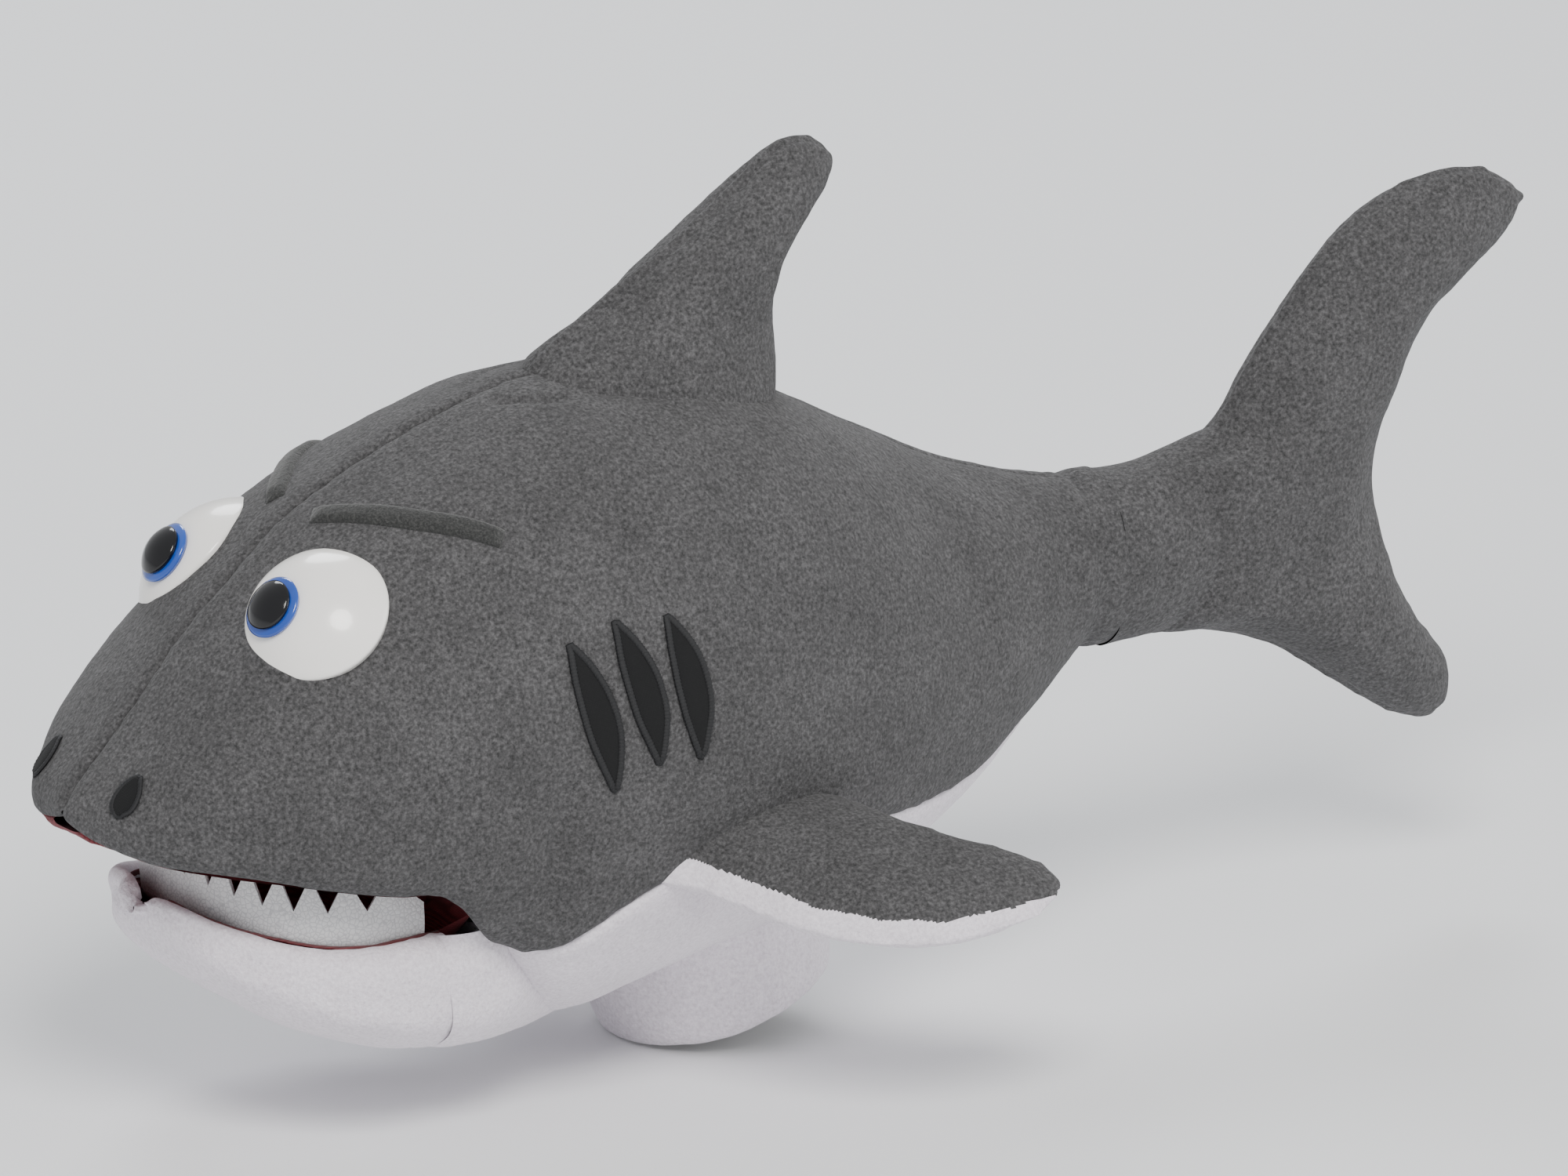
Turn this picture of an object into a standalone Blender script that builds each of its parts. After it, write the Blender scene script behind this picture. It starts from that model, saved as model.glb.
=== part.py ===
"""Plush shark hand puppet: sewn fleece and plush panels over separate stuffing
pieces, with a glove lining for the hand, plastic eyes and a hinged lower jaw.

The nose points to -X, the left side to -Y and up is +Z. The origin is the centre
of the sleeve's opening, where the hand goes in. Lengths below are in millimetres.
"""

import math

import bmesh
import bpy
from mathutils import Matrix, Vector
from mathutils.bvhtree import BVHTree

METRES = 0.001

# Overall sizes of the head and trunk, from the nose tip to the tail crease.
BODY_LENGTH = 341.0
BODY_HEIGHT = 190.0
BODY_WIDTH = 154.0
# The sleeve's place along the body, as a share of its length from the nose.
SLEEVE_PLACE = 223.0 / 341.0
NOSE_X = -SLEEVE_PLACE * BODY_LENGTH

# Fabric, and the gaps between pieces that touch.
FLEECE = 2.0
LINING = 1.2
GAP = 0.3
JOINT_GAP = 1.6
FIN_GAP = 2.4

# Lower jaw.
JAW_LENGTH = 80.0
JAW_WIDTH = 118.0
JAW_DEPTH = 53.0
JAW_LIP = 9.0
MOUTH_FLOOR_DEPTH = 12.0
TOOTH_COUNT = 15
TOOTH_HEIGHT = 11.0
TOOTH_BASE = 18.0
TOOTH_THICKNESS = 1.2
UPPER_LIP = 6.5
PALATE_RISE = 17.0

# Fins.
DORSAL_LENGTH = 112.0
DORSAL_HEIGHT = 82.0
DORSAL_THICKNESS = 30.0
PECTORAL_SPAN = 115.0
PECTORAL_CHORD = 60.0
PECTORAL_THICKNESS = 20.0
TAIL_STOCK_LENGTH = 23.5
TAIL_STOCK_HEIGHT = 52.0
TAIL_STOCK_WIDTH = 38.0
TAIL_FIN_LENGTH = 138.0
TAIL_FIN_SPAN = 176.0
TAIL_THICKNESS = 36.0

# Sleeve for the hand. Its axis leans back from the vertical.
SLEEVE_RADIUS = 36.0
SLEEVE_WALL = 4.0
SLEEVE_LENGTH = 44.0
SLEEVE_LEAN_DEG = 17.5

# Eyes, and the trim on the skin.
EYE_RADIUS = 21.8
EYE_RISE = 9.5
IRIS_RADIUS = 9.1
PUPIL_RADIUS = 7.0
SHANK_RADIUS = 2.6
SHANK_LENGTH = 15.0
WASHER_RADIUS = 7.5
WASHER_THICKNESS = 1.4
TRIM = 1.3
TRIM_GAP = 0.9


# ---------------------------------------------------------------- mesh tools


def vec(x, y, z):
    return Vector((x, y, z))


def material(name, colour, roughness):
    made = bpy.data.materials.new(name)
    made.use_nodes = True
    shader = made.node_tree.nodes["Principled BSDF"]
    shader.inputs["Base Color"].default_value = (*colour, 1.0)
    shader.inputs["Roughness"].default_value = roughness
    made.diffuse_color = (*colour, 1.0)
    return made


def make_object(name, points, faces, look=None, cutter=False):
    """A mesh object from points in millimetres, with its normals made to point out."""
    mesh = bpy.data.meshes.new(name)
    mesh.from_pydata([p * METRES for p in points], [], faces)
    tool = bmesh.new()
    tool.from_mesh(mesh)
    bmesh.ops.recalc_face_normals(tool, faces=tool.faces)
    if tool.calc_volume(signed=True) < 0:
        bmesh.ops.reverse_faces(tool, faces=tool.faces)
    tool.to_mesh(mesh)
    tool.free()
    made = bpy.data.objects.new(name, mesh)
    bpy.context.scene.collection.objects.link(made)
    if look is not None:
        mesh.materials.append(look)
    if cutter or look is None:
        made.hide_render = True
        made.display_type = "WIRE"
    else:
        mesh.shade_smooth()
        mesh.set_sharp_from_angle(angle=math.radians(50))
    return made


def cut(target, *cutters):
    for cutter in cutters:
        modifier = target.modifiers.new("Cut", "BOOLEAN")
        modifier.operation = "DIFFERENCE"
        modifier.object = cutter
        modifier.solver = "EXACT"


def grid_faces(rows, columns, start=0, closed=False, labels=None):
    """Triangles over a grid of points. Each square is split from its lower column label
    in one row to its higher label in the next, so that parallel layers split alike."""
    labels = labels or list(range(columns))
    faces = []
    for i in range(rows - 1):
        for j in range(columns if closed else columns - 1):
            k = (j + 1) % columns
            a = start + i * columns
            b = a + columns
            if labels[j] < labels[k]:
                faces += [(a + j, a + k, b + k), (a + j, b + k, b + j)]
            else:
                faces += [(a + j, a + k, b + j), (a + k, b + k, b + j)]
    return faces


def solid_from_rings(name, rings, look=None, cutter=False, labels=None):
    """A closed solid through closed rings, capped at both ends."""
    count = len(rings[0])
    points = [p for ring in rings for p in ring]
    faces = grid_faces(len(rings), count, closed=True, labels=labels)
    last = (len(rings) - 1) * count
    faces.append(tuple(range(count)))
    faces.append(tuple(last + j for j in range(count)))
    return make_object(name, points, faces, look, cutter)


def shell_from_grids(name, outer, inner, look, labels=None):
    """A closed sheet of fabric between an outer and an inner grid of points."""
    rows, columns = len(outer), len(outer[0])
    points = [p for row in outer for p in row] + [p for row in inner for p in row]
    size = rows * columns
    faces = grid_faces(rows, columns, labels=labels)
    faces += [tuple(reversed(f)) for f in grid_faces(rows, columns, start=size, labels=labels)]
    border = (
        [j for j in range(columns)]
        + [i * columns + columns - 1 for i in range(1, rows)]
        + [(rows - 1) * columns + j for j in range(columns - 2, -1, -1)]
        + [i * columns for i in range(rows - 2, 0, -1)]
    )
    labels = labels or list(range(columns))
    for a, b in zip(border, border[1:] + border[:1]):
        a, b = sorted((a, b), key=lambda p: (p // columns, labels[p % columns]))
        faces += [(a, b, b + size), (a, b + size, a + size)]
    return make_object(name, points, faces, look)


def tube_rings(path, radii, sides):
    """Rings across a path in the mid-plane; radii are (across, in the plane)."""
    rings = []
    for i, centre in enumerate(path):
        ahead = path[min(i + 1, len(path) - 1)] - path[max(i - 1, 0)]
        up = vec(0, 1, 0).cross(ahead).normalized()
        wide, high = radii[i]
        angles = [2 * math.pi * j / sides for j in range(sides)]
        rings.append(
            [centre + vec(0, wide * math.cos(a), 0) + up * (high * math.sin(a)) for a in angles]
        )
    return rings


def turned(name, profile, place, sides, look=None, cutter=False):
    """A solid turned about its own Z from (radius, height) points, then placed."""
    rings = []
    for radius, height in profile:
        angles = [2 * math.pi * j / sides for j in range(sides)]
        rings.append([place @ vec(radius * math.cos(a), radius * math.sin(a), height) for a in angles])
    return solid_from_rings(name, rings, look, cutter)


def place_on(point, normal):
    """A frame at a point with its Z along a normal."""
    return Matrix.Translation(point) @ normal.to_track_quat("Z", "Y").to_matrix().to_4x4()


# ------------------------------------------------------------- lofted forms


def smooth_between(table, at):
    """The row of a table at a fractional index, on a smooth curve through the rows."""
    i = min(int(at), len(table) - 2)
    t = at - i
    rows = [table[max(i - 1, 0)], table[i], table[i + 1], table[min(i + 2, len(table) - 1)]]
    result = []
    for a, b, c, d in zip(*rows):
        slope_b = (c - a) / 2
        slope_c = (d - b) / 2
        result.append(
            b * (2 * t**3 - 3 * t**2 + 1)
            + slope_b * (t**3 - 2 * t**2 + t)
            + c * (3 * t**2 - 2 * t**3)
            + slope_c * (t**3 - t**2)
        )
    return result


# A hollow pressed into the flat side of a ring: half width share, depth share.
HOLLOW = ((1.0, 0.0), (0.95, 0.55), (0.86, 0.92), (0.50, 1.0), (0.0, 1.0))


def spread(first, last, count):
    return [first + (last - first) * i / (count - 1) for i in range(count)]


class Form:
    """A soft body lofted through rings.

    Each station is (first x, first z, second x, second z, half thickness, middle, first
    squareness, second squareness). A ring runs in columns from its first edge round one
    side to its second edge. The seams say at which angle the column `seam_column`
    lies, and the hollows how deep the ring's second side is pressed in, past the seam.
    """

    def __init__(self, stations, columns, place=None, mirror=False, **seam):
        self.stations = stations
        self.columns = columns
        self.place = place or Matrix.Identity(4)
        self.mirror = mirror
        self.seam_column = seam.get("column", columns)
        self.seams = seam.get("angles")
        self.hollows = seam.get("hollows")
        self.rows = list(range(len(stations)))
        self.measure()

    def angle(self, at, column):
        if self.seams is None:
            return math.pi * column / self.columns
        turn = smooth_between([(s,) for s in self.seams], at)[0]
        if column <= self.seam_column:
            return turn * column / self.seam_column
        share = (column - self.seam_column) / (self.columns - self.seam_column)
        return turn + (math.pi - turn) * share

    def section(self, at, column):
        """A point of the ring with its side offset positive, before it is placed."""
        fx, fz, sx, sz, half, middle, first_square, second_square = smooth_between(self.stations, at)
        first, second = vec(fx, 0, fz), vec(sx, 0, sz)
        centre = second + (first - second) * middle
        hollow = self.hollows[int(at)] if self.hollows else 0.0
        past = max(column - self.seam_column, 0) if hollow else 0
        angle = self.angle(at, min(column, self.seam_column) if hollow else column)
        edge = first if angle <= math.pi / 2 else second
        square = first_square if angle <= math.pi / 2 else second_square
        reach = abs(math.cos(angle)) ** (2 / square)
        spot = centre + (edge - centre) * reach
        spot.y = half * max(math.sin(angle), 0.0) ** (2 / square)
        if past:
            width, depth = HOLLOW[past]
            spot.y *= width
            spot += (first - second).normalized() * (hollow * depth)
        return spot

    def put(self, spot):
        made = self.place @ spot
        if self.mirror:
            made.y = -made.y
        return made

    def measure(self):
        """Keep the surface points and their outward normals, ring by ring."""
        self.points, ring_size = [], 2 * self.columns
        for at in self.rows:
            left = [self.section(at, c) for c in range(self.columns + 1)]
            ring = [vec(p.x, -p.y, p.z) for p in left]
            ring += [left[c].copy() for c in range(self.columns - 1, 0, -1)]
            self.points.append(ring)
        rings = len(self.rows)
        self.labels = [min(s, ring_size - s) for s in range(ring_size)]
        faces = grid_faces(rings, ring_size, closed=True, labels=self.labels)
        faces.append(tuple(range(ring_size)))
        faces.append(tuple((rings - 1) * ring_size + j for j in range(ring_size)))
        tool = bmesh.new()
        corners = [tool.verts.new(p) for ring in self.points for p in ring]
        for face in faces:
            tool.faces.new([corners[k] for k in face])
        bmesh.ops.recalc_face_normals(tool, faces=tool.faces)
        if tool.calc_volume(signed=True) < 0:
            bmesh.ops.reverse_faces(tool, faces=tool.faces)
        tool.normal_update()
        normals = [corner.normal.copy() for corner in corners]
        tool.free()
        self.normals = [normals[i * ring_size : (i + 1) * ring_size] for i in range(rings)]

    def layer(self, row, slot, depth):
        return self.points[row][slot] - self.normals[row][slot] * depth

    def slot(self, side, column):
        """The place in a ring of a column on the left (-1) or the right (1)."""
        if side < 0 or column in (0, self.columns):
            return column
        return 2 * self.columns - column

    def solid(self, name, depth=0.0, rows=None, look=None, cutter=False):
        rings = [
            [self.put(self.layer(r, s, depth)) for s in range(2 * self.columns)] for r in rows or self.rows
        ]
        return solid_from_rings(name, rings, look, cutter, self.labels)

    def half(self, name, side, depth, rows, look, shift=0.0):
        """One side of the solid, closed with a flat face along the mid-plane."""
        rings = []
        for r in rows:
            ring = []
            for c in range(self.columns + 1):
                p = self.layer(r, self.slot(side, c), depth)
                p.y = side * max(abs(p.y), GAP / 2)
                p.x += shift if r == rows[0] else 0.0
                ring.append(self.put(p))
            rings.append(ring)
        return solid_from_rings(name, rings, look, labels=list(range(self.columns + 1)))

    def sheet(self, name, rows, side, look, columns=None, layers=(0.0, FLEECE), back=GAP / 2, lap=0.0):
        """A panel of fabric between two depths, on one side, on both sides across the
        second edge (side 0), or on both sides across the first edge (side 2). It stops
        short of the seams it meets, and at its first row, by the distances given."""
        start, end = columns or (0, self.columns)
        if side == 0:
            across = [(-1, c) for c in range(start, self.columns)]
            across += [(1, c) for c in range(self.columns, start - 1, -1)]
        elif side == 2:
            across = [(-1, c) for c in range(end, 0, -1)] + [(1, c) for c in range(0, end + 1)]
        else:
            across = [(side, c) for c in range(start, end + 1)]
        grids = []
        for depth in layers:
            grid = [[self.layer(r, self.slot(s, c), depth) for s, c in across] for r in rows]
            if side in (-1, 1):
                for row in grid:
                    for p in row:
                        p.y = side * max(abs(p.y), GAP / 2)
            for edge, inside in ((0, 1), (-1, -2)):
                column = across[edge][1]
                if column == self.seam_column and column != self.columns:
                    for row in grid:
                        row[edge] += (row[inside] - row[edge]).normalized() * back
            if lap:
                for k in range(len(grid[0])):
                    grid[0][k] += (grid[1][k] - grid[0][k]).normalized() * lap
            grids.append([[self.put(p) for p in row] for row in grid])
        return shell_from_grids(name, grids[0], grids[1], look, [c for _, c in across])

    def tree(self):
        """The outer surface, for finding points on it."""
        ring_size = 2 * self.columns
        points = [self.put(p) for ring in self.points for p in ring]
        faces = grid_faces(len(self.rows), ring_size, closed=True, labels=self.labels)
        return BVHTree.FromPolygons(points, faces)


def stations_from(shares, x, length, z, height, half, shape):
    """Stations from shares of a length, a height and a half thickness."""
    return [
        (x + a * length, z + b * height, x + c * length, z + d * height, e * half, *shape)
        for a, b, c, d, e in shares
    ]


# -------------------------------------------------------------- head and trunk


def on_body(x_share, y_share, z_share, side=1):
    return vec(NOSE_X + x_share * BODY_LENGTH, side * y_share * BODY_WIDTH / 2, z_share * BODY_HEIGHT)


# Shares of length and height for the top and bottom edges, the half width's share,
# the middle and the squareness above and below it. Row 7 is the mouth's corner,
# row 8 the throat and the last row the crease before the tail.
BODY_SHARES = [
    (0.000, 0.492, 0.000, 0.478, 0.012, 0.45, 2.0, 2.0),
    (0.012, 0.530, 0.012, 0.447, 0.300, 0.45, 2.0, 3.0),
    (0.041, 0.585, 0.040, 0.425, 0.470, 0.42, 2.0, 4.5),
    (0.076, 0.652, 0.080, 0.412, 0.620, 0.38, 2.1, 6.0),
    (0.120, 0.736, 0.130, 0.392, 0.745, 0.34, 2.1, 6.0),
    (0.170, 0.820, 0.184, 0.366, 0.825, 0.32, 2.1, 6.0),
    (0.222, 0.894, 0.232, 0.342, 0.880, 0.32, 2.1, 5.5),
    (0.274, 0.945, 0.279, 0.322, 0.920, 0.34, 2.1, 4.5),
    (0.322, 0.982, 0.326, 0.263, 0.945, 0.38, 2.1, 4.0),
    (0.364, 1.008, 0.361, 0.158, 0.970, 0.42, 2.1, 3.0),
    (0.408, 1.030, 0.402, 0.074, 0.988, 0.44, 2.1, 2.4),
    (0.456, 1.046, 0.457, 0.045, 1.000, 0.45, 2.1, 2.1),
    (0.514, 1.048, 0.516, 0.066, 0.994, 0.45, 2.1, 2.1),
    (0.584, 1.030, 0.582, 0.092, 0.962, 0.45, 2.1, 2.1),
    (0.654, 0.992, 0.654, 0.112, 0.900, 0.45, 2.1, 2.1),
    (0.720, 0.940, 0.726, 0.138, 0.815, 0.45, 2.1, 2.1),
    (0.784, 0.878, 0.794, 0.175, 0.705, 0.45, 2.0, 2.0),
    (0.848, 0.816, 0.858, 0.232, 0.585, 0.46, 2.0, 2.0),
    (0.908, 0.768, 0.918, 0.320, 0.465, 0.48, 2.0, 2.0),
    (0.960, 0.738, 0.966, 0.390, 0.370, 0.50, 2.0, 2.0),
    (1.000, 0.722, 1.000, 0.440, 0.310, 0.50, 2.0, 2.0),
]
THROAT, HEAD_END, CREASE = 8, 10, 20
GREY_COLUMNS, COLUMNS = 6, 10

# Height of the seam between the grey sides and the white belly from the throat back,
# as a share of the body's height.
SEAM_SHARES = [0.300, 0.245, 0.265, 0.315, 0.345, 0.352, 0.345, 0.332, 0.325, 0.338, 0.380, 0.420, 0.455]
HOLLOW_SHARES = [0.0, 0.0, 0.2, 0.65, 0.95, 1.0, 0.8, 0.3] + [0.0] * 13


def body_seam_angle(row, station):
    """The angle where the grey fabric ends: inside the lip, or along the belly."""
    _, top_z, _, bottom_z, half, middle, _, square = station
    if row < THROAT:
        share = max(half - UPPER_LIP, 0.3 * half) / half
        return math.pi - math.asin(share ** (square / 2))
    height = SEAM_SHARES[row - THROAT] * BODY_HEIGHT
    middle_z = bottom_z + (top_z - bottom_z) * middle
    share = min(max((middle_z - height) / (middle_z - bottom_z), 0.02), 0.98)
    return math.pi - math.acos(share ** (square / 2))


def body_form():
    stations = []
    for a, b, c, d, half, middle, above, below in BODY_SHARES:
        top, bottom = on_body(a, 0, b), on_body(c, 0, d)
        stations.append((top.x, top.z, bottom.x, bottom.z, half * BODY_WIDTH / 2, middle, above, below))
    seams = [body_seam_angle(i, s) for i, s in enumerate(stations)]
    hollows = [share * PALATE_RISE for share in HOLLOW_SHARES]
    return Form(stations, COLUMNS, column=GREY_COLUMNS, angles=seams, hollows=hollows)


# The lower jaw, from its back to its front. The first edge is its underside and the
# second edge the top of the lip, with the mouth's floor pressed in between the lips.
JAW_SHARES = [
    (0.000, 0.000, 0.085, 0.855, 0.965),
    (0.165, 0.030, 0.215, 0.862, 0.998),
    (0.345, 0.105, 0.385, 0.855, 0.990),
    (0.500, 0.200, 0.530, 0.860, 0.935),
    (0.640, 0.320, 0.655, 0.885, 0.845),
    (0.770, 0.450, 0.775, 0.925, 0.705),
    (0.880, 0.590, 0.872, 0.968, 0.520),
    (0.955, 0.740, 0.945, 1.010, 0.320),
    (0.992, 0.880, 0.988, 0.985, 0.120),
    (1.000, 0.925, 1.000, 0.945, 0.012),
]
JAW_HOLLOWS = [1.0, 1.0, 1.0, 1.0, 0.92, 0.7, 0.35, 0.0, 0.0, 0.0]
JAW_BACK = on_body(0.3095, 0, 0.050)


def jaw_form():
    stations = stations_from(
        JAW_SHARES, JAW_BACK.x, -JAW_LENGTH, JAW_BACK.z, JAW_DEPTH, JAW_WIDTH / 2, (0.52, 2.3, 5.0)
    )
    seams = []
    for (*_, half, _, _, square), hollow in zip(stations, JAW_HOLLOWS):
        share = max(half - JAW_LIP, 0.3 * half) / half if hollow else 0.3
        seams.append(math.pi - math.asin(share ** (square / 2)))
    hollows = [share * MOUTH_FLOOR_DEPTH for share in JAW_HOLLOWS]
    return Form(stations, COLUMNS, column=GREY_COLUMNS, angles=seams, hollows=hollows)


def tooth_strip(jaw, look):
    """A strip of leatherette standing inside the lower lip, its top cut into teeth."""
    turns = 2 * TOOTH_COUNT
    bends = []
    for i in range(turns + 1):
        sweep = math.pi * (i / turns - 0.5) * 0.98
        bends.append((math.cos(sweep), math.sin(sweep)))
    lip = JAW_BACK.z + 0.86 * JAW_DEPTH
    points = []
    for offset in (0.0, TOOTH_THICKNESS):
        for i, (ahead, across) in enumerate(bends):
            reach = abs(ahead) ** 0.62 * (1 if ahead > 0 else -1)
            half = JAW_WIDTH / 2 - JAW_LIP - 4.6 - offset
            x = JAW_BACK.x - 0.05 * JAW_LENGTH - (0.79 * JAW_LENGTH - offset) * reach
            y = half * math.copysign(abs(across) ** 0.86, across)
            rise = 0.13 * JAW_DEPTH * max(ahead, 0.0) ** 3
            top = lip + rise + TOOTH_BASE - TOOTH_HEIGHT + (TOOTH_HEIGHT if i % 2 else 0.0)
            points.append(vec(x, y, lip + rise - 5.5))
            points.append(vec(x, y, top))
    size = 2 * (turns + 1)
    faces = [(0, 1, size + 1, size), (size - 2, size - 1, 2 * size - 1, 2 * size - 2)]
    for i in range(turns):
        a, b = 2 * i, 2 * i + 2
        faces += [(a, b, b + 1, a + 1), (size + a, size + a + 1, size + b + 1, size + b)]
        faces += [(a, a + size, b + size, b), (a + 1, b + 1, b + 1 + size, a + 1 + size)]
    return make_object("tooth_strip", points, faces, look)


def throat_gusset(body, jaw, look):
    """The soft fold of fabric from the back of the jaw round to the belly."""
    grids = []
    for lift in (FLEECE + 1.0, 1.0):
        grid = []
        for t in (0.0, 0.35, 0.7, 1.0):
            row = []
            for side, c in [(-1, k) for k in range(7)][::-1] + [(1, k) for k in range(1, 7)]:
                turn = c / 6
                near = jaw.section(0, c * 5.0 / 6)
                near = vec(near.x + 1.0, near.y, near.z) + vec(0, turn, -(1 - turn)) * (lift - FLEECE - 1.0)
                far_at = 10.6 - 2.3 * turn
                far = body.section(far_at, COLUMNS - 4 * turn)
                down = vec(0, turn, -(1.1 - turn)).normalized()
                spot = near.lerp(far + down * lift, t) + down * (3.0 * math.sin(math.pi * t))
                row.append(vec(spot.x, side * spot.y, spot.z))
            grid.append(row)
        grids.append(grid)
    return shell_from_grids("throat_gusset", grids[0], grids[1], look)


# ------------------------------------------------------------------------ fins

# Each fin runs in rows of (front x, front z, rear x, rear z, half thickness) shares.
DORSAL_SHARES = [
    (0.000, 0.171, 0.768, -0.049, 0.26),
    (0.044, 0.290, 0.781, 0.110, 0.32),
    (0.130, 0.390, 0.788, 0.220, 0.72),
    (0.205, 0.465, 0.793, 0.310, 0.94),
    (0.312, 0.561, 0.799, 0.390, 1.00),
    (0.500, 0.720, 0.830, 0.537, 0.90),
    (0.661, 0.866, 0.884, 0.659, 0.77),
    (0.786, 0.976, 0.946, 0.768, 0.57),
    (0.884, 0.994, 0.982, 0.878, 0.27),
]
PECTORAL_SHARES = [
    (-0.040, -0.020, 0.220, 0.750, 0.30),
    (0.085, 0.000, 0.290, 0.800, 0.34),
    (0.155, -0.030, 0.335, 0.830, 0.72),
    (0.243, -0.077, 0.400, 0.827, 1.00),
    (0.417, -0.163, 0.539, 0.731, 1.00),
    (0.583, -0.154, 0.696, 0.683, 0.90),
    (0.739, -0.077, 0.835, 0.673, 0.75),
    (0.896, 0.135, 0.939, 0.635, 0.55),
    (0.991, 0.346, 1.000, 0.538, 0.25),
]
TAIL_SHARES = [
    (0.757, 0.009, 0.801, 0.037, 0.17),
    (0.656, 0.031, 0.793, 0.111, 0.50),
    (0.504, 0.111, 0.736, 0.179, 0.72),
    (0.337, 0.196, 0.685, 0.259, 0.89),
    (0.163, 0.247, 0.649, 0.344, 0.94),
    (0.004, 0.281, 0.627, 0.429, 0.94),
    (0.000, 0.429, 0.627, 0.503, 1.00),
    (0.011, 0.554, 0.641, 0.548, 0.94),
    (0.178, 0.599, 0.678, 0.616, 0.89),
    (0.322, 0.753, 0.750, 0.724, 0.78),
    (0.525, 0.923, 0.844, 0.793, 0.67),
    (0.728, 0.991, 0.938, 0.855, 0.50),
    (0.888, 0.986, 0.996, 0.918, 0.22),
]
# The tail stock's rows of (x, top, bottom, half width) shares; its front is rounded
# so that it can swing behind the body.
STOCK_SHARES = [
    (0.00, 0.86, 0.14, 0.20),
    (0.11, 0.95, 0.06, 0.62),
    (0.28, 1.00, 0.01, 0.94),
    (0.52, 1.00, 0.00, 1.00),
    (0.80, 0.99, 0.01, 0.94),
    (1.00, 0.96, 0.03, 0.84),
]
PECTORAL_AXES = ((0.735, -0.664, -0.139), (0.653, 0.641, 0.390))
FIN_COLUMNS = 6


def fin_form(shares, place, length, height, half, mirror=False):
    stations = stations_from(shares, 0.0, length, 0.0, height, half, (0.5, 2.0, 2.0))
    return Form(stations, FIN_COLUMNS, place=place, mirror=mirror)


def pectoral_place():
    span, chord = (Vector(a).normalized() for a in PECTORAL_AXES)
    frame = Matrix((span, chord.cross(span), chord)).transposed().to_4x4()
    return Matrix.Translation(on_body(0.481, -0.868, 0.346) - chord * (0.1 * PECTORAL_CHORD)) @ frame


def stock_form():
    start = on_body(1.0, 0, 0.447) + vec(JOINT_GAP, 0, 0)
    stations = []
    for x_share, top, bottom, half in STOCK_SHARES:
        x = start.x + x_share * TAIL_STOCK_LENGTH
        high, low = start.z + top * TAIL_STOCK_HEIGHT, start.z + bottom * TAIL_STOCK_HEIGHT
        stations.append((x, high, x, low, half * TAIL_STOCK_WIDTH / 2, 0.5, 2.2, 2.2))
    return Form(stations, FIN_COLUMNS)


# ----------------------------------------------------- glove, sleeve and pockets


def tube_shell(name, path, radii, wall, sides, look, closed_end=False, cutter=False):
    """A fabric tube with an open start; its far end is open or closed."""
    outer = tube_rings(path, radii, sides)
    inner_path = list(path)
    if closed_end:
        inner_path[-1] = path[-1] + (path[-2] - path[-1]).normalized() * wall
    inner = tube_rings(inner_path, [(w - wall, h - wall) for w, h in radii], sides)
    rows = len(path)
    points = [p for ring in outer + inner for p in ring]
    size, last = rows * sides, (rows - 1) * sides
    faces = grid_faces(rows, sides, closed=True)
    faces += grid_faces(rows, sides, start=size, closed=True)
    for j in range(sides):
        k = (j + 1) % sides
        faces.append((j, k, size + k, size + j))
        if not closed_end:
            faces.append((last + j, last + k, size + last + k, size + last + j))
    if closed_end:
        faces.append(tuple(last + j for j in range(sides)))
        faces.append(tuple(size + last + j for j in range(sides)))
    return make_object(name, points, faces, look, cutter)


def sleeve_axis():
    lean = math.radians(SLEEVE_LEAN_DEG)
    return vec(-math.sin(lean), 0, math.cos(lean))


GLOVE_RADII = ((0, 0), (0, 0), (36.0, 30.0), (40.0, 23.0), (40.0, 17.5), (37.0, 14.0), (31.0, 11.0))


def glove_path():
    """The middle of the hand's room: up the sleeve, then forward over the palate."""
    up = sleeve_axis()
    inside = SLEEVE_RADIUS - SLEEVE_WALL - GAP
    path = [up * 1.5, up * SLEEVE_LENGTH]
    path += [on_body(0.582, 0, 0.400), on_body(0.500, 0, 0.505), on_body(0.405, 0, 0.580)]
    path += [on_body(0.300, 0, 0.595), on_body(0.205, 0, 0.595)]
    radii = [(inside, inside), (inside, inside)] + [tuple(r) for r in GLOVE_RADII[2:]]
    return path, radii


def thumb_paths():
    """The thumb's way out of the glove, and its pocket in the jaw."""
    passage = [on_body(0.445, 0, 0.330), on_body(0.400, 0, 0.240), on_body(0.352, 0, 0.170)]
    pocket = [
        JAW_BACK + vec(-x * JAW_LENGTH, 0, z * JAW_DEPTH) for x, z in ((0.04, 0.34), (0.275, 0.34), (0.50, 0.42))
    ]
    return passage, pocket


def grown(radii, by):
    return [(w + by, h + by) for w, h in radii]


# -------------------------------------------------------------------- the trim


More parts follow.
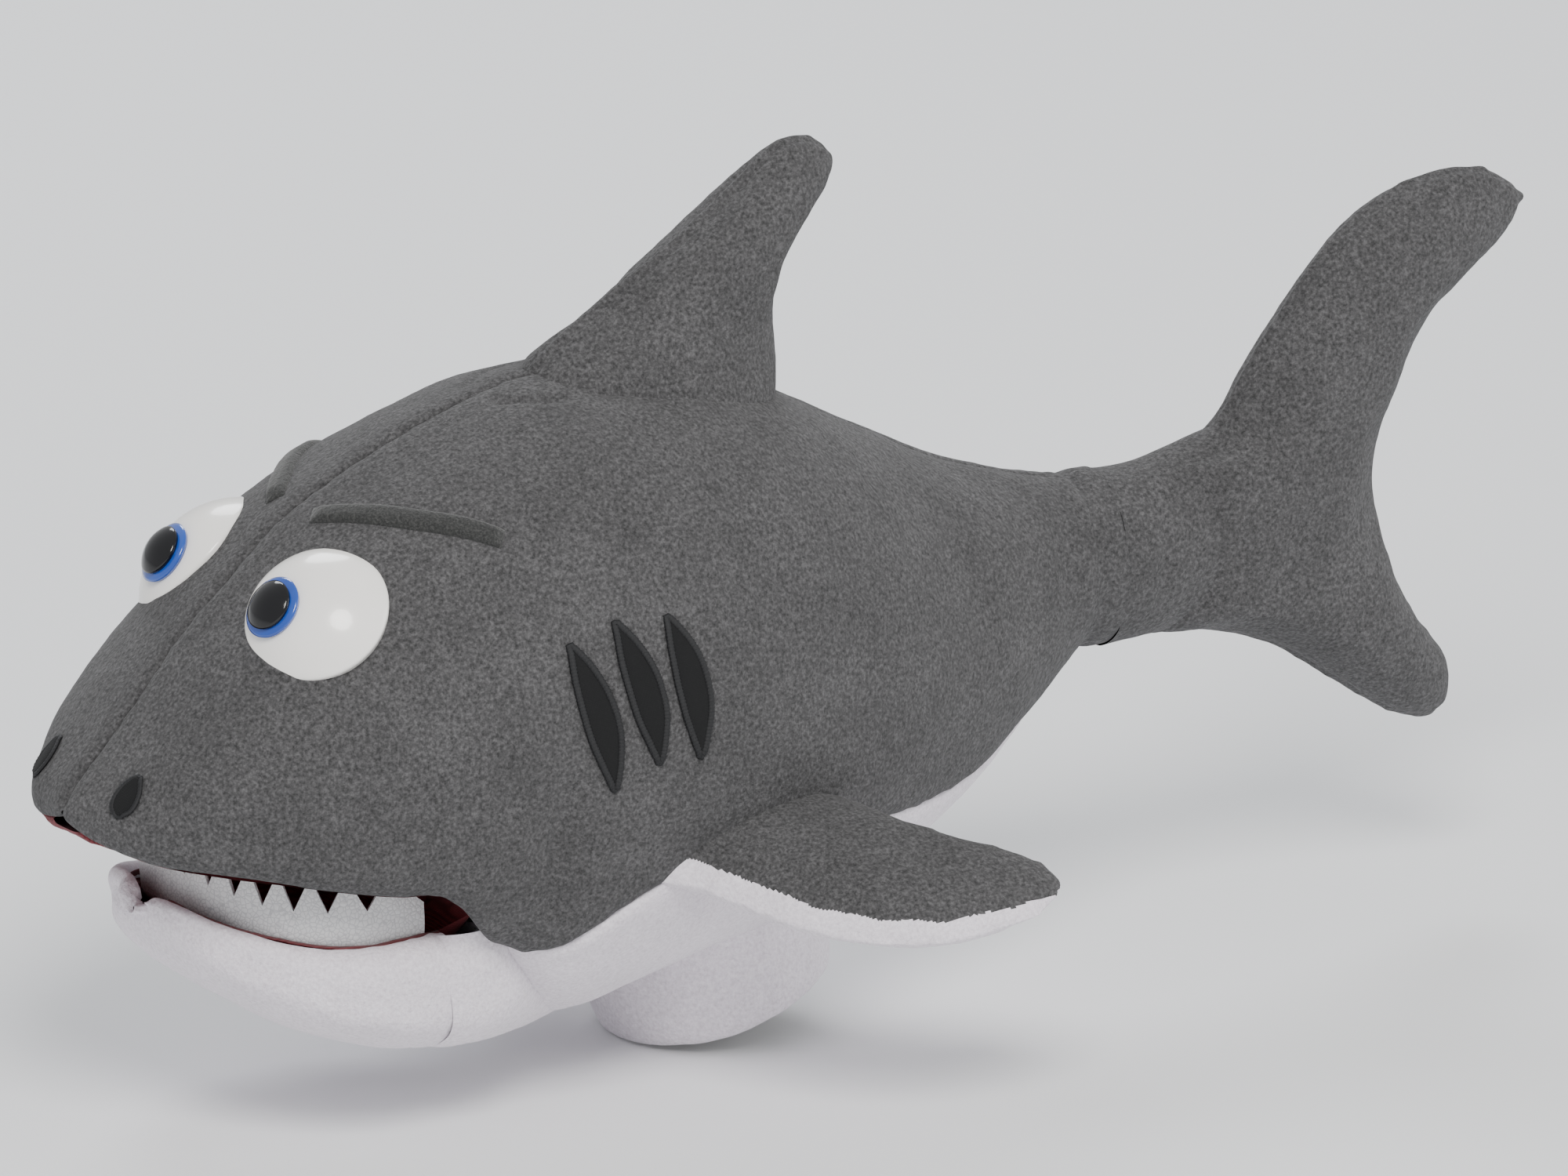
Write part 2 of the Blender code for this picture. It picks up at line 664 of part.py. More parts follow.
def patch(name, tree, path, widths, look, lift=TRIM_GAP, thickness=TRIM):
    """A flat shape laid along a path on a surface, this wide at each of its points."""
    length = sum((b - a).length for a, b in zip(path, path[1:]))
    ats = spread(0.0, len(path) - 1.0, max(int(length / 4.2) + 2, 5))
    spots = [Vector(smooth_between([tuple(p) for p in path], at)) for at in ats]
    wide = [smooth_between([(w,) for w in widths], at)[0] for at in ats]
    hit, facing, *_ = tree.find_nearest(spots[len(spots) // 2])
    facing = facing if facing.dot(hit - on_body(0.4, 0, 0.5)) > 0 else -facing
    outer, inner = [], []
    for i, spot in enumerate(spots):
        ahead = spots[min(i + 1, len(spots) - 1)] - spots[max(i - 1, 0)]
        sideways = facing.cross(ahead).normalized()
        outer_row, inner_row = [], []
        for share in (-1.0, -0.5, 0.0, 0.5, 1.0):
            above = spot + sideways * (share * max(wide[i], 0.35)) + facing * 40.0
            on, out, *_ = tree.ray_cast(above, -facing)
            out = out if out.dot(facing) > 0 else -out
            out = (out + facing).normalized()
            inner_row.append(on + out * lift)
            outer_row.append(on + out * (lift + thickness * (1 - 0.25 * abs(share))))
        outer.append(outer_row)
        inner.append(inner_row)
    return shell_from_grids(name, outer, inner, look)


def dome_part(name, place, centre_depth, inside, outside, reach, bulge, look):
    """A round shell on a ball about a point under the eye, thicker in the middle."""
    steps = [0.04, 0.35, 0.7, 1.0]
    profile = [(inside * math.sin(reach * s), inside * math.cos(reach * s)) for s in steps]
    for s in reversed(steps):
        radius = outside + bulge * (1 - s * s)
        profile.append((radius * math.sin(reach * s), radius * math.cos(reach * s)))
    return turned(name, [(r, h - centre_depth) for r, h in profile], place, 20, look)


# ------------------------------------------------------------------- the puppet


def build():
    for item in list(bpy.data.objects):
        bpy.data.objects.remove(item, do_unlink=True)
    grey = material("grey_fleece", (0.105, 0.108, 0.108), 0.95)
    white = material("white_plush", (0.70, 0.68, 0.72), 0.95)
    red = material("red_lining", (0.22, 0.015, 0.025), 0.8)
    leather = material("white_leatherette", (0.72, 0.72, 0.73), 0.45)
    black = material("black_felt", (0.012, 0.013, 0.016), 0.9)
    dark = material("charcoal_fleece", (0.030, 0.031, 0.030), 0.95)
    fibre = material("stuffing", (0.80, 0.80, 0.78), 1.0)
    cotton = material("glove_cotton", (0.60, 0.58, 0.55), 0.95)
    eye_plastic = material("eye_white_plastic", (0.78, 0.74, 0.66), 0.22)
    blue = material("eye_blue_plastic", (0.010, 0.075, 0.42), 0.18)
    pupil_plastic = material("eye_black_plastic", (0.004, 0.004, 0.006), 0.08)
    washer_plastic = material("washer_plastic", (0.75, 0.75, 0.75), 0.5)

    body, jaw = body_form(), jaw_form()
    under = FLEECE + GAP

    # The hand's room and its lining.
    path, radii = glove_path()
    passage, pocket = thumb_paths()
    thumb = [(18.0, 15.0), (18.0, 15.0), (18.0, 15.0)]
    pocket_radii = [(17.0, 11.0), (16.0, 10.5), (12.5, 7.5)]
    glove = tube_shell("glove_lining", path, radii, LINING, 20, cotton, closed_end=True)
    room = tube_rings(path, grown(radii, GAP), 20)
    room = room[:-1] + [[p + vec(-GAP - 0.2, 0, 0) for p in room[-1]]]
    glove_cutter = solid_from_rings("glove_cutter", room, cutter=True)
    thumb_room = tube_rings([passage[0] + vec(16, 0, 12)] + passage + [passage[2] + vec(-30, 0, -12)],
                            grown([thumb[0]] + thumb + [thumb[2]], GAP), 16)
    thumb_cutter = solid_from_rings("thumb_cutter", thumb_room, cutter=True)
    cut(glove, thumb_cutter)
    passage_lining = tube_shell("thumb_passage_lining", passage, thumb, LINING, 16, cotton)
    cut(passage_lining, glove_cutter)
    up = sleeve_axis()
    sleeve_path = [up * 0.0, up * 3.0, up * (SLEEVE_LENGTH * 0.5), up * (SLEEVE_LENGTH - 1.0)]
    hem = SLEEVE_RADIUS - 1.0
    cuff_radii = [(hem, hem)] + [(SLEEVE_RADIUS, SLEEVE_RADIUS)] * 3
    outer = tube_rings(sleeve_path, cuff_radii, 28)
    bore = SLEEVE_RADIUS - SLEEVE_WALL
    inner = tube_rings(sleeve_path, [(bore, bore)] * 4, 28)
    rows, size = len(outer), len(outer) * 28
    faces = grid_faces(rows, 28, closed=True) + grid_faces(rows, 28, start=size, closed=True)
    for j in range(28):
        k, last = (j + 1) % 28, (rows - 1) * 28
        faces.append((j, k, size + k, size + j))
        faces.append((last + j, last + k, size + last + k, size + last + j))
    make_object("sleeve_cuff", [p for ring in outer + inner for p in ring], faces, white)
    cuff_room = tube_rings([up * -8.0, up * (SLEEVE_LENGTH - 0.4)], [(SLEEVE_RADIUS + GAP,) * 2] * 2, 28)
    cuff_cutter = solid_from_rings("cuff_cutter", cuff_room, cutter=True)

    # The eyes, seated on the skin with their washers behind it.
    body_tree = body.tree()
    eye_seats, shank_holes, washer_rooms = [], [], []
    ball = (EYE_RADIUS**2 + EYE_RISE**2) / (2 * EYE_RISE)
    for side, word in ((-1, "left"), (1, "right")):
        target = on_body(0.1977, 0.4455, 0.792, side)
        normal = vec(-0.58, side * 0.40, 0.71).normalized()
        hit = body_tree.find_nearest(target)[0]
        seat = place_on(hit, normal)
        dome = [(SHANK_RADIUS, -SHANK_LENGTH), (SHANK_RADIUS, -1.0), (EYE_RADIUS - 0.7, -1.0)]
        dome += [(EYE_RADIUS, -0.3)]
        for share in (1.0, 0.8, 0.6, 0.4, 0.2, 0.03):
            turn = math.asin(EYE_RADIUS / ball) * share
            dome.append((ball * math.sin(turn), ball * math.cos(turn) - ball + EYE_RISE + 0.2))
        turned(word + "_eye_white", dome, seat, 32, eye_plastic)
        middle = hit - normal * (ball - EYE_RISE - 0.2)
        look_at = on_body(0.1584, 0.366, 0.800, side) - middle
        look_at = (look_at - normal * look_at.dot(normal)).normalized()
        lean = math.asin(0.88 * (EYE_RADIUS - IRIS_RADIUS) / ball)
        axis = (normal * math.cos(lean) + look_at * math.sin(lean)).normalized()
        ball_frame = place_on(middle, axis)
        iris_reach = math.asin(IRIS_RADIUS / ball)
        pupil_reach = math.asin(PUPIL_RADIUS / ball)
        dome_part(word + "_iris", ball_frame, 0.0, ball + GAP, ball + 1.6, iris_reach, 0.3, blue)
        dome_part(word + "_pupil", ball_frame, 0.0, ball + 2.3, ball + 2.9, pupil_reach, 2.0, pupil_plastic)
        inner_edge = SHANK_RADIUS + GAP
        washer_top = -FLEECE - 1.2
        ring = [(inner_edge, washer_top), (WASHER_RADIUS, washer_top)]
        ring += [(WASHER_RADIUS, washer_top - WASHER_THICKNESS), (inner_edge, washer_top - WASHER_THICKNESS)]
        loops = []
        for radius, height in ring:
            angles = [2 * math.pi * j / 18 for j in range(18)]
            loops.append([seat @ vec(radius * math.cos(a), radius * math.sin(a), height) for a in angles])
        faces = grid_faces(5, 18, closed=True)
        faces = [tuple(v % 72 for v in face) for face in faces]
        make_object(word + "_eye_washer", [p for loop in loops for p in loop], faces, washer_plastic)
        wide = EYE_RADIUS + GAP
        seat_cut = [(wide, -1.0 - GAP), (wide, 20.0)]
        eye_seats.append(turned(word + "_seat_cutter", seat_cut, seat, 32, cutter=True))
        hole = SHANK_RADIUS + GAP
        shank_cut = [(hole, -SHANK_LENGTH - GAP), (hole, 2.0)]
        shank_holes.append(turned(word + "_shank_cutter", shank_cut, seat, 18, cutter=True))
        wide = WASHER_RADIUS + GAP
        room_cut = [(wide, -SHANK_LENGTH - GAP), (wide, 2.0)]
        washer_rooms.append(turned(word + "_washer_cutter", room_cut, seat, 20, cutter=True))

    # The skin of the head and trunk, its lining and its stuffing.
    for k, (side, word) in enumerate(((-1, "left"), (1, "right"))):
        panel = body.sheet(word + "_side_panel", body.rows, side, grey, (0, GREY_COLUMNS))
        cut(panel, eye_seats[k], shank_holes[k])
        head_rows, trunk_rows = list(range(1, HEAD_END + 1)), list(range(HEAD_END, CREASE + 1))
        head = body.half(word + "_head_filling", side, under, head_rows, fibre)
        trunk = body.half(word + "_trunk_filling", side, under, trunk_rows, fibre, shift=GAP)
        cut(head, glove_cutter, eye_seats[k], washer_rooms[k], thumb_cutter)
        cut(trunk, glove_cutter, thumb_cutter, cuff_cutter)
    rows = list(range(THROAT, CREASE + 1))
    belly = body.sheet("belly_panel", rows, 0, white, (GREY_COLUMNS, COLUMNS), lap=GAP)
    cut(belly, cuff_cutter, thumb_cutter)
    roof_rows = list(range(1, THROAT + 1))
    roof = body.sheet("palate_lining", roof_rows, 0, red, (GREY_COLUMNS, COLUMNS), (0.0, LINING))
    cut(roof, body.solid("core_cutter", FLEECE, cutter=True))
    for side, word in ((-1, "left"), (1, "right")):
        spans = (0, GREY_COLUMNS)
        cut(roof, body.sheet(word + "_panel_cutter", body.rows, side, None, spans, (-0.5, under), -GAP / 2))

    # The lower jaw.
    jaw.sheet("lower_jaw_skin", jaw.rows, 2, white, (0, GREY_COLUMNS))
    jaw_room = tube_rings([pocket[0] + vec(8, 0, 0)] + pocket[1:], grown(pocket_radii, GAP), 16)
    jaw_room = jaw_room[:-1] + [[p + vec(-0.5, 0, 0) for p in jaw_room[-1]]]
    pocket_cutter = solid_from_rings("pocket_cutter", jaw_room, cutter=True)
    tube_shell("thumb_pocket", pocket, pocket_radii, LINING, 16, cotton, closed_end=True)
    jaw_filling = jaw.solid("jaw_filling", under, rows=jaw.rows[:-2], look=fibre)
    cut(jaw_filling, pocket_cutter)
    floor_rows = list(range(0, len(jaw.rows) - 2))
    floor = jaw.sheet("mouth_floor", floor_rows, 0, red, (GREY_COLUMNS, COLUMNS), (0.0, LINING))
    cut(floor, jaw.sheet("skin_cutter", jaw.rows, 2, None, (0, GREY_COLUMNS), (-0.5, under), -GAP / 2))
    tooth_strip(jaw, leather)
    throat_gusset(body, jaw, white)

    # The fins and the tail.
    clearance = body.solid("body_clearance", -FIN_GAP, cutter=True)
    dorsal_place = Matrix.Translation(on_body(0.4545, 0, 0.926))
    dorsal = fin_form(DORSAL_SHARES, dorsal_place, DORSAL_LENGTH, DORSAL_HEIGHT, DORSAL_THICKNESS / 2)
    cut(dorsal.solid("dorsal_filling", under, look=fibre), clearance)
    for side, word in ((-1, "left"), (1, "right")):
        cut(dorsal.sheet("dorsal_" + word + "_panel", dorsal.rows, side, grey), clearance)
        place = pectoral_place()
        fin = fin_form(
            PECTORAL_SHARES, place, PECTORAL_SPAN, PECTORAL_CHORD, PECTORAL_THICKNESS / 2, mirror=side > 0
        )
        cut(fin.solid(word + "_pectoral_filling", under, fin.rows[2:], fibre), clearance)
        cut(fin.sheet(word + "_pectoral_top", fin.rows, -1, grey), clearance)
        cut(fin.sheet(word + "_pectoral_underside", fin.rows, 1, white), clearance)
    stock = stock_form()
    stock.solid("tail_stock_filling", under, look=fibre)
    for side, word in ((-1, "left"), (1, "right")):
        stock.sheet("tail_stock_" + word + "_panel", stock.rows, side, grey)
    tail_x = on_body(1.0, 0, 0).x + JOINT_GAP + TAIL_STOCK_LENGTH + JOINT_GAP
    tail_place = Matrix.Translation(vec(tail_x, 0, 0.192 * BODY_HEIGHT))
    tail = fin_form(TAIL_SHARES, tail_place, TAIL_FIN_LENGTH, TAIL_FIN_SPAN, TAIL_THICKNESS / 2)
    tail.solid("tail_fin_filling", under, look=fibre)
    for side, word in ((-1, "left"), (1, "right")):
        tail.sheet("tail_fin_" + word + "_panel", tail.rows, side, grey)

    # Brows, nostrils and gill slits sewn on the skin, held just clear of it.
    surface = body.solid("surface_cutter", -0.4, cutter=True)
    for k, (side, word) in enumerate(((-1, "left"), (1, "right"))):
        brow = [(0.235, 0.115, 0.893), (0.262, 0.27, 0.905), (0.292, 0.42, 0.905), (0.325, 0.56, 0.905),
                (0.352, 0.65, 0.890)]
        brow = [on_body(x, y, z, side) for x, y, z in brow]
        strip = patch(word + "_brow", body_tree, brow, [3.2, 3.6, 3.6, 3.4, 3.0], dark)
        cut(strip, eye_seats[k], surface)
        nostril = [(0.040, 0.285, 0.562), (0.034, 0.285, 0.545), (0.030, 0.285, 0.525), (0.028, 0.285, 0.505),
                   (0.029, 0.285, 0.490)]
        nostril = [on_body(x, y, z, side) for x, y, z in nostril]
        cut(patch(word + "_nostril", body_tree, nostril, [0.8, 3.2, 4.0, 3.2, 0.8], black), surface)
        for number, start, end in (
            ("1", (0.384, 0.93, 0.737), (0.416, 0.98, 0.505)),
            ("2", (0.430, 0.93, 0.760), (0.460, 0.98, 0.535)),
            ("3", (0.481, 0.93, 0.755), (0.501, 0.98, 0.532)),
        ):
            top, foot = on_body(*start, side), on_body(*end, side)
            steps = (0.0, 0.2, 0.42, 0.65, 0.85, 1.0)
            slit = [top.lerp(foot, t) + vec(2.0 * math.sin(math.pi * t), 0, 0) for t in steps]
            sewn = patch(word + "_gill_" + number, body_tree, slit, [0.4, 3.4, 4.9, 4.7, 2.6, 0.4], black)
            cut(sewn, surface)


build()
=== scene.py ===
"""Plush shark hand puppet: fleece, plush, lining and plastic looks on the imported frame."""

import math

import bmesh
import bpy
import numpy as np
from mathutils import Matrix, Vector, noise
from mathutils.bvhtree import BVHTree


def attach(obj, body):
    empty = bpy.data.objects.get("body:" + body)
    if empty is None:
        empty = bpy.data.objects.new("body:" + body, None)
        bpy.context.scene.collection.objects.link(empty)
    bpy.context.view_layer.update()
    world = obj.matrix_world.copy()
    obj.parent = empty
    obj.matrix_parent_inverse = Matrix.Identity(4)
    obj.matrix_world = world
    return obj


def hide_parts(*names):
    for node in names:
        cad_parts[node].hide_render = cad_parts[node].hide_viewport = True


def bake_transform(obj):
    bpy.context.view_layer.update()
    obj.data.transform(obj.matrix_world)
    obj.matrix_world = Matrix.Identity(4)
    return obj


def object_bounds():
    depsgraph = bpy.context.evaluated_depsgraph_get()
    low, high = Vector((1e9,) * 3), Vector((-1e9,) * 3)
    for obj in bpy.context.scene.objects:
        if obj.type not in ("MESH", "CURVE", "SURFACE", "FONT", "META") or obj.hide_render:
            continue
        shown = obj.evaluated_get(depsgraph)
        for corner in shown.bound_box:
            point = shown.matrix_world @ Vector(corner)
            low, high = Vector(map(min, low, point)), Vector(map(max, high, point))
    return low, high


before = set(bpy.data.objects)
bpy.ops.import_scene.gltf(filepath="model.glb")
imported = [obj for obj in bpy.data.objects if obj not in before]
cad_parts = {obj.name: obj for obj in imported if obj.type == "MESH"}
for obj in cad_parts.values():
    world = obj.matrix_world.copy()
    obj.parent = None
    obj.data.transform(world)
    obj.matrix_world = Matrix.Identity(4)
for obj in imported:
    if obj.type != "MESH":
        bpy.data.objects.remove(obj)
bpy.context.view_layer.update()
MM = 0.001

# Sizes of the frame that the fabric follows, in millimetres.
BODY_LENGTH, BODY_HEIGHT, BODY_WIDTH, NOSE_X = 341.0, 190.0, 154.0, -223.0
JAW_LENGTH, JAW_WIDTH, JAW_DEPTH, JAW_LIP, FLOOR_DEPTH = 80.0, 118.0, 53.0, 9.0, 12.0
UPPER_LIP, PALATE_RISE = 6.5, 17.0
TOOTH_COUNT, TOOTH_HEIGHT, TOOTH_BASE = 15, 11.0, 18.0
DORSAL = (112.0, 82.0, 30.0)
PECTORAL = (115.0, 60.0, 20.0)
TAIL_FIN = (138.0, 176.0, 36.0)
STOCK_LENGTH = 23.5
JOINT_GAP = 1.6
SLEEVE_RADIUS, SLEEVE_WALL, SLEEVE_LENGTH, SLEEVE_LEAN = 36.0, 4.0, 44.0, math.radians(17.5)
EYE_RADIUS, EYE_RISE, IRIS_RADIUS, PUPIL_RADIUS = 21.8, 9.5, 9.1, 7.0
THROAT, CREASE = 8, 20
SEAM_COLUMN, LAST_COLUMN = 6, 10


def vec(x, y, z):
    return Vector((x, y, z))


# ------------------------------------------------------------------ materials


def shader_of(name, roughness, sheen=0.0, coat=0.0):
    made = bpy.data.materials.new(name)
    made.use_nodes = True
    shader = made.node_tree.nodes["Principled BSDF"]
    shader.inputs["Roughness"].default_value = roughness
    shader.inputs["Sheen Weight"].default_value = sheen
    shader.inputs["Sheen Roughness"].default_value = 0.5
    shader.inputs["Coat Weight"].default_value = coat
    return made, made.node_tree, shader


def node(tree, kind, **values):
    made = tree.nodes.new(kind)
    for key, value in values.items():
        if key in made.inputs:
            made.inputs[key].default_value = value
        else:
            setattr(made, key, value)
    return made


def noise_at(tree, where, scale, detail=2.0, rough=0.5):
    made = node(tree, "ShaderNodeTexNoise", Scale=scale, Detail=detail, Roughness=rough)
    tree.links.new(where.outputs["Object"], made.inputs["Vector"])
    return made


def ramp(tree, source, stops):
    made = tree.nodes.new("ShaderNodeValToRGB")
    bar = made.color_ramp
    while len(bar.elements) < len(stops):
        bar.elements.new(0.5)
    for element, (at, colour) in zip(bar.elements, stops):
        element.position = at
        element.color = (*colour, 1.0)
    tree.links.new(source, made.inputs["Fac"])
    return made


def pile(name, dark, mid, light, sheen, depth, patches=0.10, fleck=1500.0):
    """Short pile: fibre clumps about a millimetre across over broader brushed patches."""
    made, tree, shader = shader_of(name, 0.95, sheen)
    where = tree.nodes.new("ShaderNodeTexCoord")
    fibre = noise_at(tree, where, fleck, 3.0, 0.65)
    colour = ramp(tree, fibre.outputs["Fac"], ((0.30, dark), (0.50, mid), (0.70, light)))
    brushed = noise_at(tree, where, 38.0, 4.0, 0.6)
    shade = ramp(
        tree,
        brushed.outputs["Fac"],
        ((0.32, (1 - patches,) * 3), (0.68, (1 + patches,) * 3)),
    )
    mix = node(tree, "ShaderNodeMix", data_type="RGBA", blend_type="MULTIPLY")
    mix.inputs[0].default_value = 1.0
    tree.links.new(colour.outputs["Color"], mix.inputs[6])
    tree.links.new(shade.outputs["Color"], mix.inputs[7])
    tree.links.new(mix.outputs[2], shader.inputs["Base Color"])
    clumps = noise_at(tree, where, fleck * 0.42, 4.0, 0.7)
    bump = node(tree, "ShaderNodeBump", Strength=depth, Distance=0.0012)
    tree.links.new(clumps.outputs["Fac"], bump.inputs["Height"])
    tree.links.new(bump.outputs["Normal"], shader.inputs["Normal"])
    return made


def grained(name, colour, dark, roughness, scale, depth):
    """Leatherette or a woven lining: cells with fine creases between them."""
    made, tree, shader = shader_of(name, roughness)
    where = tree.nodes.new("ShaderNodeTexCoord")
    cells = node(tree, "ShaderNodeTexVoronoi", Scale=scale, feature="DISTANCE_TO_EDGE")
    tree.links.new(where.outputs["Object"], cells.inputs["Vector"])
    tone = ramp(tree, cells.outputs["Distance"], ((0.0, dark), (0.12, colour)))
    tree.links.new(tone.outputs["Color"], shader.inputs["Base Color"])
    bump = node(tree, "ShaderNodeBump", Strength=depth, Distance=0.0006)
    tree.links.new(cells.outputs["Distance"], bump.inputs["Height"])
    tree.links.new(bump.outputs["Normal"], shader.inputs["Normal"])
    return made


def woven(name, light, dark, threads, roughness=0.85, sheen=0.1):
    """A plain weave from two crossed waves."""
    made, tree, shader = shader_of(name, roughness, sheen)
    where = tree.nodes.new("ShaderNodeTexCoord")
    waves = []
    for direction in ("X", "Z"):
        wave = node(tree, "ShaderNodeTexWave", Scale=threads, bands_direction=direction, Distortion=0.4)
        tree.links.new(where.outputs["Object"], wave.inputs["Vector"])
        waves.append(wave)
    both = node(tree, "ShaderNodeMath", operation="MULTIPLY")
    tree.links.new(waves[0].outputs["Fac"], both.inputs[0])
    tree.links.new(waves[1].outputs["Fac"], both.inputs[1])
    tone = ramp(tree, both.outputs["Value"], ((0.0, dark), (0.7, light)))
    tree.links.new(tone.outputs["Color"], shader.inputs["Base Color"])
    bump = node(tree, "ShaderNodeBump", Strength=0.35, Distance=0.0004)
    tree.links.new(both.outputs["Value"], bump.inputs["Height"])
    tree.links.new(bump.outputs["Normal"], shader.inputs["Normal"])
    return made


def plastic(name, colour, tint, roughness, coat):
    """Moulded plastic with a faint cloudiness and fine handling marks."""
    made, tree, shader = shader_of(name, roughness, 0.0, coat)
    where = tree.nodes.new("ShaderNodeTexCoord")
    cloud = noise_at(tree, where, 60.0, 3.0)
    tone = ramp(tree, cloud.outputs["Fac"], ((0.3, tint), (0.7, colour)))
    tree.links.new(tone.outputs["Color"], shader.inputs["Base Color"])
    marks = noise_at(tree, where, 900.0, 2.0)
    bump = node(tree, "ShaderNodeBump", Strength=0.04, Distance=0.0002)
    tree.links.new(marks.outputs["Fac"], bump.inputs["Height"])
    tree.links.new(bump.outputs["Normal"], shader.inputs["Normal"])
    return made


GREY = pile("grey_fleece", (0.022, 0.022, 0.0225), (0.060, 0.059, 0.0605), (0.112, 0.110, 0.113),
            0.06, 0.9, 0.13, 900.0)
WHITE = pile("white_plush", (0.68, 0.62, 0.68), (0.80, 0.745, 0.81), (0.90, 0.85, 0.91),
             0.25, 0.8, 0.05, 900.0)
CHARCOAL = pile("charcoal_fleece", (0.010, 0.010, 0.010), (0.028, 0.029, 0.028), (0.06, 0.06, 0.058),
                0.2, 0.6)
RED = woven("red_lining", (0.25, 0.020, 0.032), (0.10, 0.006, 0.010), 700.0)
COTTON = woven("glove_cotton", (0.60, 0.58, 0.55), (0.42, 0.40, 0.38), 500.0)
BLACK = woven("black_felt", (0.004, 0.0045, 0.0055), (0.0012, 0.0013, 0.0016), 900.0, 0.95, 0.0)
LEATHER = grained("white_leatherette", (0.72, 0.72, 0.73), (0.50, 0.50, 0.52), 0.42, 700.0, 0.5)
THREAD = woven("black_thread", (0.010, 0.011, 0.013), (0.002, 0.002, 0.003), 1400.0, 0.6, 0.0)
EYE_WHITE = plastic("eye_white_plastic", (0.96, 0.94, 0.90), (0.94, 0.92, 0.88), 0.22, 0.4)
EYE_BLUE = plastic("eye_blue_plastic", (0.012, 0.085, 0.46), (0.008, 0.055, 0.34), 0.18, 0.7)
EYE_BLACK = plastic("eye_black_plastic", (0.003, 0.003, 0.004), (0.002, 0.002, 0.003), 0.10, 0.0)
WASHER = plastic("washer_plastic", (0.75, 0.75, 0.75), (0.70, 0.70, 0.70), 0.5, 0.0)


# ------------------------------------------------------------- lofted surfaces


def smooth_between(table, at):
    """The row of a table at a fractional index, on a smooth curve through the rows."""
    i = min(int(at), len(table) - 2)
    t = at - i
    rows = [table[max(i - 1, 0)], table[i], table[i + 1], table[min(i + 2, len(table) - 1)]]
    result = []
    for a, b, c, d in zip(*rows):
        low, high = (c - a) / 2, (d - b) / 2
        result.append(
            b * (2 * t**3 - 3 * t**2 + 1)
            + low * (t**3 - 2 * t**2 + t)
            + c * (3 * t**2 - 2 * t**3)
            + high * (t**3 - t**2)
        )
    return result


HOLLOW = ((1.0, 0.0), (0.95, 0.55), (0.86, 0.92), (0.50, 1.0), (0.0, 1.0))


class Form:
    """A body lofted through rings that run from a first edge round one side to a second."""

    def __init__(self, stations, columns, place=None, mirror=False, angles=None, hollows=None):
        self.stations, self.columns = stations, columns
        self.place, self.mirror = place or Matrix.Identity(4), mirror
        self.angles, self.hollows = angles, hollows
        self.last = len(stations) - 1

    def angle(self, at, column):
        if self.angles is None:
            return math.pi * column / self.columns
        turn = smooth_between([(a,) for a in self.angles], at)[0]
        if column <= SEAM_COLUMN:
            return turn * column / SEAM_COLUMN
        share = (column - SEAM_COLUMN) / (self.columns - SEAM_COLUMN)
        return turn + (math.pi - turn) * share

    def at(self, at, column, side):
        fx, fz, sx, sz, half, middle, above, below = smooth_between(self.stations, at)
        first, second = vec(fx, 0, fz), vec(sx, 0, sz)
        centre = second + (first - second) * middle
        hollow = smooth_between([(h,) for h in self.hollows], at)[0] if self.hollows else 0.0
        past = max(column - SEAM_COLUMN, 0.0) if hollow > 0.01 else 0.0
        angle = self.angle(at, min(column, SEAM_COLUMN) if past else column)
        edge, square = (first, above) if angle <= math.pi / 2 else (second, below)
        spot = centre + (edge - centre) * abs(math.cos(angle)) ** (2 / square)
        spot.y = max(half, 0.05) * max(math.sin(angle), 0.0) ** (2 / square)
        if past:
            width, depth = smooth_between(HOLLOW, min(past, 3.999))
            spot.y *= max(width, 0.0)
            spot += (first - second).normalized() * (hollow * depth)
        spot.y *= side
        made = self.place @ spot
        if self.mirror:
            made.y = -made.y
        return made


def on_body(x_share, y_share, z_share, side=1):
    return vec(NOSE_X + x_share * BODY_LENGTH, side * y_share * BODY_WIDTH / 2, z_share * BODY_HEIGHT)


